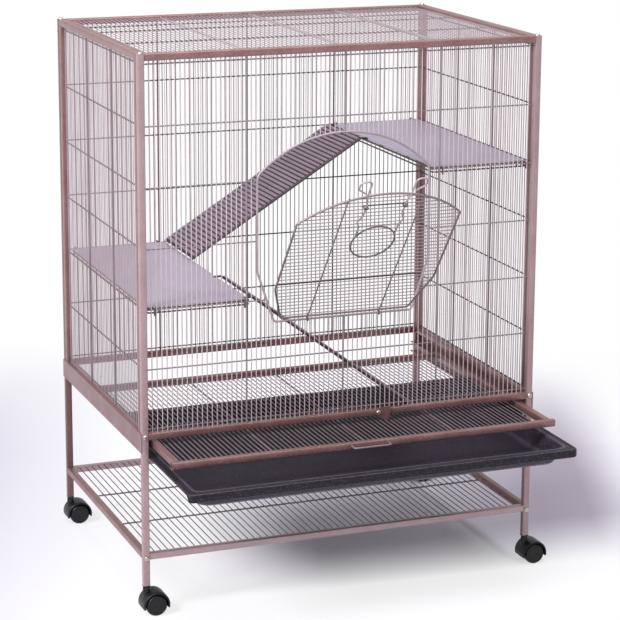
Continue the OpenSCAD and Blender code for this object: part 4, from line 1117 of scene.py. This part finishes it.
def tray_loop(inset, bend):
    """Points round the tray, pulled in from its outer edge. Every loop has the same number."""
    x1, ya, yb = TRAY_HALF - inset, TRAY_FRONT + inset, TRAY_BACK - inset
    behind = [max(TRAY_FRONT + back, ya + bend + more) for back, more in ((20, 0.5), (24, 4.5))]
    points = []
    for cx, cy, start in ((1, 1, 0), (-1, 1, 90), (-1, -1, 180), (1, -1, 270)):
        mx, my = cx * (x1 - bend), yb - bend if cy > 0 else ya + bend
        if start == 180:
            points += [(-x1, y) for y in behind[::-1]]
        for k in range(CORNER_STEPS + 1):
            a = radians(start + 90 * k / CORNER_STEPS)
            points.append((mx + bend * cos(a), my + bend * sin(a)))
    return points + [(x1, y) for y in behind]


def lip_foot(y, above=0.0):
    """Height of the lip's foot, and a little above it, at a distance back."""
    share = min(1.0, max(0.0, (TRAY_FRONT + LIP_WRAP - y) / LIP_FADE))
    depth = FLANGE_T + (LIP - FLANGE_T) * share * share * (3 - 2 * share)
    return TRAY_RIM - depth + above


print("tray half width", TRAY_HALF, "depth", TRAY_BACK - TRAY_FRONT)

# %% The tray's section, step by step, and the tray
LEAN_SHARE, INNER, FLOOR_BEND, ROLL = 12 / 34, 18 + TRAY_WALL, 7.0, 2.2
floor_z, under = TRAY_FLOOR + TRAY_WALL, TRAY_RIM - FLANGE_T
foot = INNER + LEAN_SHARE * (TRAY_RIM - floor_z - FLOOR_BEND)


def bend_steps(degrees, steps, first=1):
    """Number, sine and cosine of each step of a bend."""
    for k in range(first, steps + 1):
        a = radians(degrees) * k / steps
        yield k, sin(a), cos(a)


def tray_section():
    """Loops (inset, corner, height, painted light and rubbing): under the body, round the lip, the
    flange, inside.
    """
    yield foot + 14, 26, TRAY_FLOOR, 0
    yield foot + 5, 24, TRAY_FLOOR, 0
    # A painted highlight along the body's lower bend.
    for k, s, c in bend_steps(75, 5):
        yield foot + 5 - 7 * s, 22, TRAY_FLOOR + 7 * (1 - c), 0.7 if k in (3, 4) else 0.2
    yield from ((19, 19, under - 1.2, 0), (17.4, 18, under, 0), (3.6, 9.3, under, 0))
    yield 3.0, 9.3, lambda y: lip_foot(y, 0.3), 0
    yield 1.2, 11, lip_foot, 0
    # Painted shade on the lip's front face and its rolled edge, with a painted highlight along the
    # roll's top.
    yield 0, 12, lambda y: lip_foot(y, 1.2), -0.6
    for k, s, c in bend_steps(90, 4, first=0):
        yield ROLL * (1 - c), 12, TRAY_RIM - ROLL * (1 - s), 0.3 if k in (2, 3) else -0.6
    # The flange is painted darker as shade. The bead on its inner edge gets a painted highlight,
    # partly rubbed edge.
    flange = ((4.2, 12, 0.2, 0), (5.2, 12.5, 0.9, -0.3), (11.8, 15, 0.9, -0.3))
    bead = ((12.8, 15.5, 0.3, 0), (14.2, 16, 0, 0.35), (15.6, 16.5, 0, 0.35))
    for inset, bend, drop, worn_and_lit in flange + bead:
        yield inset, bend, TRAY_RIM - drop, worn_and_lit
    # Faint painted highlights on the inner bend and on the bend into the floor.
    for k, s, c in bend_steps(70, 4):
        yield INNER - 3.8 + 3.8 * s, 18, TRAY_RIM - 4 * (1 - c), 0.2 if k < 3 else 0
    yield foot, 21, floor_z + FLOOR_BEND, 0
    for k, s, _ in bend_steps(75, 5):
        up = 1 - sin(radians(75 * k / 5 + 15))
        yield foot + FLOOR_BEND * s * 0.9, 23, floor_z + FLOOR_BEND * up, 0.15
    yield foot + 16, 26, floor_z, 0


build = bmesh.new()
wear = build.verts.layers.float.new("wear")
rings = []
for inset, bend, height, worn_and_lit in tray_section():
    rings.append([])
    for x, y in tray_loop(inset, bend):
        z = height(y) if callable(height) else height
        rings[-1].append(build.verts.new((x, y, z)))
    for vert in rings[-1]:
        vert[wear] = worn_and_lit
skin(build, rings)
tray = solid("tray_shell", build, TRAY, 40, weld=False)
hand_over(tray, "tray_drawer", ["litter_tray"])

# %% [markdown]
# ## Casters
# Each caster has two plastic wheels on one axle under a hood that both share. Round parts are
# turned from a section, as on a lathe, and the hood is a bent strip with rounded edges that covers
# the wheels' tops, plus a web between them and a boss for the stem.

# %% A lathe, and the casters' places
TRAIL, WHEEL_R, WHEEL_W, WEB, WEB_GAP = 15.0, 20.0, 15.6, 8.0, 0.4


def turned(build, section, centre, axis=1, count=64):
    """Turns a closed section of (radius, along) round an axis through a centre."""
    rings = []
    for k in range(count):
        a = 2 * pi * k / count
        rings.append([])
        for r, along in section:
            point = list(centre)
            point[axis] += along
            point[(axis + 1) % 3] += r * cos(a)
            point[(axis + 2) % 3] += r * sin(a)
            rings[-1].append(build.verts.new(point))
    skin(build, rings, closed=True)


CASTERS = []
for end, sy in (("front", -1), ("back", 1)):
    for side, sx in (("left", -1), ("right", 1)):
        CASTERS.append((f"{end}_{side}", sx * MID_W, sy * MID_D))
print("casters", [name for name, _, _ in CASTERS])

# %% Wheels
r, w = WHEEL_R, WHEEL_W
wheel = arc_section([
    (2.6, 0, 0), (7, 0, 0.5), (8, 3, 0.5), (15, 3, 0.5), (16, 0, 0.5), (r - 0.6, 0, 0.8),
    (r, 3, 2), (r, w - 3.4, 2.6), (r - 2.6, w - 0.2, 1.6), (r - 4.6, w - 0.1, 0.3),
    (r - 4.9, w - 1.1, 0.3), (r - 5.3, w - 0.9, 0.3), (12, w - 0.4, 8), (4, w - 0.6, 2),
    (3.4, w - 1.2, 0.3), (2.6, w - 1.2, 0),
])
hub_cap = [(0.01, w - 1.3), (2.7, w - 1.3), (2.7, w - 3), (0.01, w - 3)]
for corner, cx, cy in CASTERS:
    build = bmesh.new()
    for s in (-1, 1):
        for section, count in ((wheel, 64), (hub_cap, 24)):
            shape = [(r, s * (WEB / 2 + WEB_GAP + along)) for r, along in section]
            turned(build, shape, (cx + TRAIL, cy, WHEEL_R), count=count)
    wheels = solid(f"caster_wheels_{corner}", build, BLACK)
    hand_over(wheels, f"wheel_{corner}", [f"wheels_{corner}"])

# %% Hoods
HOOD_IN, HOOD_OUT, WEB_R = WHEEL_R + 2.0, WHEEL_R + 5.5, WHEEL_R + 2.8
h = WEB / 2 + WHEEL_W + WEB_GAP
strip = arc_section([
    (HOOD_IN, -h, 0.6), (HOOD_OUT - 0.3, -h, 2.4), (HOOD_OUT, 0, 0), (HOOD_OUT - 0.3, h, 2.4),
    (HOOD_IN, h, 0.6),
])
boss = [(4.05, 14, 0), (6.5, 14, 0), (6.5, 32.2, 0.8), (5.6, 32.5, 0.3), (4.05, 32.5, 0)]
for corner, cx, cy in CASTERS:
    build = bmesh.new()

    def round_axle(r, y, a):
        """A vertex at a radius and a direction round the wheels' axle."""
        return build.verts.new((cx + TRAIL + r * cos(a), cy + y, WHEEL_R + r * sin(a)))

    arc = np.radians(np.linspace(-13.5, 193.5, 49))
    skin(build, [[round_axle(r, y, a) for r, y in strip] for a in arc])
    arc = np.radians(np.linspace(-23, 203, 41))
    skin(build, [[round_axle(WEB_R, y, a) for a in arc] for y in (-WEB / 2, WEB / 2)])
    turned(build, arc_section(boss), (cx, cy, WHEEL_R), axis=2, count=40)
    hood = solid(f"caster_hood_{corner}", build, BLACK, 40)
    hand_over(hood, f"swivel_{corner}", [f"hood_{corner}"])

# %% [markdown]
# ## Screws
# Bright pan-head screws hold the posts: one on each post's top, two on each leg's outer face, and
# one that the grille's catch turns on. The head is turned from a domed section with a cross recess,
# and a node tree sets a copy on each place, turned along that place's normal.

# %% One screw head with a cross recess
HEAD_R, HEAD_H, HEAD_STEPS = 4.75, 3.2, 48
DOME = [(1.0, 0.0), (1.0, 0.3), (0.93, 0.62), (0.8, 0.84), (0.62, 0.96), (0.46, 1.0)]


def cross_radius(a):
    """How far the cross recess reaches in a direction."""
    local = (a + pi / 4) % (pi / 2) - pi / 4
    return min(2.0, 0.62 / max(abs(sin(local)), 0.02)) if abs(local) < 0.6 else 0.95


build = bmesh.new()
turns = [2 * pi * k / HEAD_STEPS for k in range(HEAD_STEPS)]
levels = [([HEAD_R * share] * HEAD_STEPS, rise) for share, rise in DOME]
for rise, scale in ((1.0, 1.0), (0.62, 0.8)):
    levels.append(([cross_radius(a) * scale for a in turns], rise))
rings = []
for radii, rise in levels:
    ring = [(r * cos(a), r * sin(a), HEAD_H * rise) for r, a in zip(radii, turns)]
    rings.append([build.verts.new(point) for point in ring])
skin(build, rings)
bmesh.ops.recalc_face_normals(build, faces=build.faces[:])
screw_head = new_piece("screw_head", build)
print("screw head", len(screw_head.data.polygons), "faces")

# %% The screw tree and the screws' places
inputs = [("Head", "Object", None), ("Coat", "Material", None)]
screw_tree, given = geometry_tree("screws_on_points", inputs)
head = {"Object": given["Head"], "As Instance": True}
head = screw_tree.add("GeometryNodeObjectInfo", head, transform_space="ORIGINAL")
aim = screw_tree.add("GeometryNodeInputNamedAttribute", {"Name": "aim"}, data_type="FLOAT_VECTOR")
turn = screw_tree.add("FunctionNodeAlignRotationToVector", {"Vector": aim["Attribute"]}, axis="Z")
heads = {"Points": given, "Instance": head["Geometry"], "Rotation": turn}
end_tree(screw_tree, screw_tree.add("GeometryNodeInstanceOnPoints", heads), given["Coat"])
CATCH_X, CATCH_Z = 69.0, BASE_Z + TUBE / 2
places = []
for sx in (-1, 1):
    for sy in (-1, 1):
        places.append(((sx * MID_W, sy * MID_D, TOP), (0, 0, 1)))
        for z in (SHELF_Z + 3, CATCH_Z):
            places.append(((sx * MID_W, sy * HALF_D, z), (0, sy, 0)))
places.append(((CATCH_X, -HALF_D - 2.3, CATCH_Z), (0, -1, 0)))
screws = points_piece("screws", [place for place, _ in places])
aims = screws.data.attributes.new("aim", "FLOAT_VECTOR", "POINT")
aims.data.foreach_set("vector", np.array([way for _, way in places], np.float32).ravel())
grow(screws, screw_tree, {"Head": screw_head, "Coat": STEEL})
bpy.data.objects.remove(screw_head)
smooth_by_angle(screws, 35)
hand_over(screws, "cage", ["top_screws", "face_screws"])

# %% [markdown]
# ## The grille's catch
# A small pressed plate turns on its screw and hangs in front of the grille, so the grille can't
# slide out. One side is bent forward as a finger lip.

# %% The catch
low = CATCH_Z - GRILLE_TOP - 0.8
corners = [(0, 7.5, 7), (22, 11, 1.5), (22, -low, 2.5), (13, -low, 3), (-2, -7, 6), (-7.5, 0, 6)]
edge = arc_section(corners)
bore = [(2.1 * cos(a), 2.1 * sin(a)) for a in np.linspace(0, 2 * pi, len(edge) + 1)]
start = min(range(len(edge)), key=lambda i: abs(atan2(edge[i][1], edge[i][0])))
edge = edge[start:] + edge[:start]
if sum(a[0] * b[1] - a[1] * b[0] for a, b in zip(edge, edge[1:] + edge[:1])) < 0:
    edge = [edge[0]] + edge[:0:-1]
behind, ahead = -HALF_D - 0.2, -HALF_D - 2.2
build = bmesh.new()
rings = []
for shape, y in ((bore[:-1], behind), (edge, behind), (edge, ahead), (bore[:-1], ahead)):
    rings.append([build.verts.new((CATCH_X + x, y, CATCH_Z + z)) for x, z in shape])
skin(build, rings, closed=True)
catch = solid("catch_plate", build, COAT, 50)
lip_low = (CATCH_X + 20, -HALF_D - 5.2, CATCH_Z + 5.5 - low)
lip_high = (CATCH_X + 22, -HALF_D - 0.4, CATCH_Z + 11)
lip = plate("catch_lip", lip_low, lip_high, 0.5)
lip.data.materials.append(COAT)
join(catch, lip)
hand_over(catch, "grille_catch", ["turn_latch"])

# %% [markdown]
# ## Coats for the CAD nodes that stay
# Some CAD nodes already have the real shape: the platforms' sheets, the side channels, the stems,
# the axles and the leg plugs. They keep their meshes and take a finish.

# %% Finishes of the nodes that stay
kept = {
    "upper_deck": (SHEET, "sheet"), "lower_deck": (SHEET, "sheet"),
    "base_channel_left": (COAT, "frame"), "base_channel_right": (COAT, "frame"),
    "caster_stems": (STEEL, "steel"), "leg_plugs": (BLACK, "black_plastic"),
}
for corner, _, _ in CASTERS:
    kept["axle_" + corner] = (STEEL, "steel")
for name, (material, slot_name) in kept.items():
    node = frame["nodes"][name]
    node.data.materials.clear()
    node.data.materials.append(material)
print("kept nodes", sorted(kept))

# %% [markdown]
# ## Floor, lamps and camera
# The cage stands on a pale studio floor that runs into white. The floor is a sheet that keeps the
# object's own shadow, and painted shade is added to it. In the photo a wide soft shade lies beside
# the cage on the right, and a pale lilac one on the left, so the floor is described along and
# across
# the view: a painted shadow darkens it on the right, it glows white outside that, and a painted
# lilac shade on the left tints the glow there. A large soft lamp on the left lights the left faces,
# one from above fills the tops, and the white surroundings do the rest. The camera stands where the
# photographer stood, found from the photo's vanishing lines.

# %% Floor
FLOOR_TURN, FLOOR_SPAN = radians(21.19), 14.0


def studio_floor():
    """A light lilac floor with a painted shadow on the right and a painted lilac shade on the left,
    both only for the camera and reflections; outside them it glows white wherever it is looked at.
    """
    material, tree, place = new_material("studio_floor")
    parts = tree.add("ShaderNodeSeparateXYZ", {"Vector": place})
    c, s = cos(FLOOR_TURN), sin(FLOOR_TURN)
    away = parts["X"] * s + parts["Y"] * c
    across = parts["X"] * c - parts["Y"] * s
    apart = (away * away + across * across) ** 0.5
    # The painted shadow: a soft patch beside the cage on the right, laid out along and across the
    # view.
    front_edge = ((away + 0.28 - 0.31 * across) / 0.26).clamped()
    back_edge = ((1.35 - away) / 0.75).clamped()
    side_edges = ((across + 0.2) / 0.26).clamped() * ((0.77 - across) / 0.15).clamped()
    painted_shadow = front_edge * back_edge * side_edges
    # The painted lilac shade on the left, fading with distance.
    left_side = ((-0.35 - across) / 0.35).clamped()
    left_painted_shade = left_side * (1.55 - away).clamped() * ((2.0 - apart) / 0.7).clamped()
    rays = tree.add("ShaderNodeLightPath")
    seen = (rays["Is Camera Ray"] + rays["Is Glossy Ray"] + rays["Is Transmission Ray"]).clamped()
    bare = tree.mix(noise(tree, place, 3.0, 3.0), (0.85, 0.83, 0.92), (0.92, 0.9, 0.98))
    # The painted shadow darkens the paper, less under the cage where the real shadow falls.
    open_side = 0.2 + 0.8 * ((across - 0.28) / 0.24).clamped()
    paper_with_painted_shadow = tree.mix(painted_shadow * open_side * seen, bare, (0.5, 0.45, 0.54))
    paper = tree.add("ShaderNodeBsdfDiffuse", {"Color": paper_with_painted_shadow, "Roughness": 0.4})
    glow_colour = tree.mix(left_painted_shade, (1, 1, 1), srgb(214, 211, 226))
    glow = tree.add("ShaderNodeEmission", {"Color": glow_colour, "Strength": 1.0})
    share = (0.86 - 0.86 * painted_shadow + 0.14 * (apart - 0.9)).clamped() * (1.0 - painted_shadow)
    shader = tree.add("ShaderNodeMixShader", {0: share * seen, 1: paper, 2: glow})
    tree.add("ShaderNodeOutputMaterial", {"Surface": shader})
    return material


floor_mesh = bpy.data.meshes.new("floor")
square = [(x * FLOOR_SPAN, y * FLOOR_SPAN, 0) for x, y in ((-1, -1), (1, -1), (1, 1), (-1, 1))]
floor_mesh.from_pydata(square, [], [(0, 1, 2, 3)])
floor_mesh.materials.append(studio_floor())
new_object("floor", floor_mesh)
print("floor", FLOOR_SPAN * 2, "metres wide")

# %% Lamps and surroundings
LAMPS = {
    "lamp_left": ((-2.9, -1.5, 2.8), 0.4, 1.2, 148, (1.0, 0.985, 1.0)),
    "lamp_top": ((0.0, -0.8, 3.4), 0.4, 2.2, 78, (0.98, 0.98, 1.0)),
    "lamp_front": ((-1.6, -3.4, 1.9), 0.5, 1.8, 6, (1, 1, 1)),
}
for name, (place, aim_z, size, power, colour) in LAMPS.items():
    lamp = bpy.data.lights.new(name, "AREA")
    lamp.shape, lamp.size, lamp.energy, lamp.color = "SQUARE", size, power, colour
    holder = new_object(name, lamp)
    holder.location = place
    way = Vector((0, 0, aim_z)) - Vector(place)
    holder.rotation_euler = way.to_track_quat("-Z", "Y").to_euler()
world = bpy.data.worlds.new("studio")
bpy.context.scene.world = world
world.use_nodes = True
world.node_tree.nodes.clear()
sky = Tree(world.node_tree)
rays = sky.add("ShaderNodeLightPath")
seen = rays["Is Camera Ray"] + rays["Is Glossy Ray"] * 0.35 + rays["Is Transmission Ray"]
level = 0.46 + 0.54 * seen.clamped()
backdrop = sky.add("ShaderNodeBackground", {"Color": (1, 1, 1, 1), "Strength": level})
sky.add("ShaderNodeOutputWorld", {"Surface": backdrop})
bpy.context.scene.view_settings.view_transform = "Standard"
print("lamps", sorted(LAMPS))

# %% Camera
AZIMUTH, ELEVATION, ROLL = (radians(a) for a in (21.1914, 12.7384, 0.2811))
EYE, SENSOR, PHOTO_WIDTH, FOCAL_PIXELS = (-1.49264, -3.94269, 1.55418), 36.0, 620, 2227.48
flat = cos(ELEVATION)
look = Vector((sin(AZIMUTH) * flat, cos(AZIMUTH) * flat, -sin(ELEVATION)))
level_right = Vector((cos(AZIMUTH), -sin(AZIMUTH), 0))
level_up = level_right.cross(look)
right = level_right * cos(ROLL) + level_up * sin(ROLL)
up = level_up * cos(ROLL) - level_right * sin(ROLL)
camera_data = bpy.data.cameras.new("camera")
camera = new_object("camera", camera_data)
bpy.context.scene.camera = camera
rows = [(right[i], up[i], -look[i], EYE[i]) for i in range(3)]
camera.matrix_world = Matrix((*rows, (0, 0, 0, 1)))
camera_data.sensor_width = SENSOR
camera_data.lens = SENSOR * FOCAL_PIXELS / PHOTO_WIDTH
camera_data.shift_y = -0.1
print("camera lens", round(camera_data.lens, 1), "mm")

# %% Update the view layer and finish
bpy.context.view_layer.update()
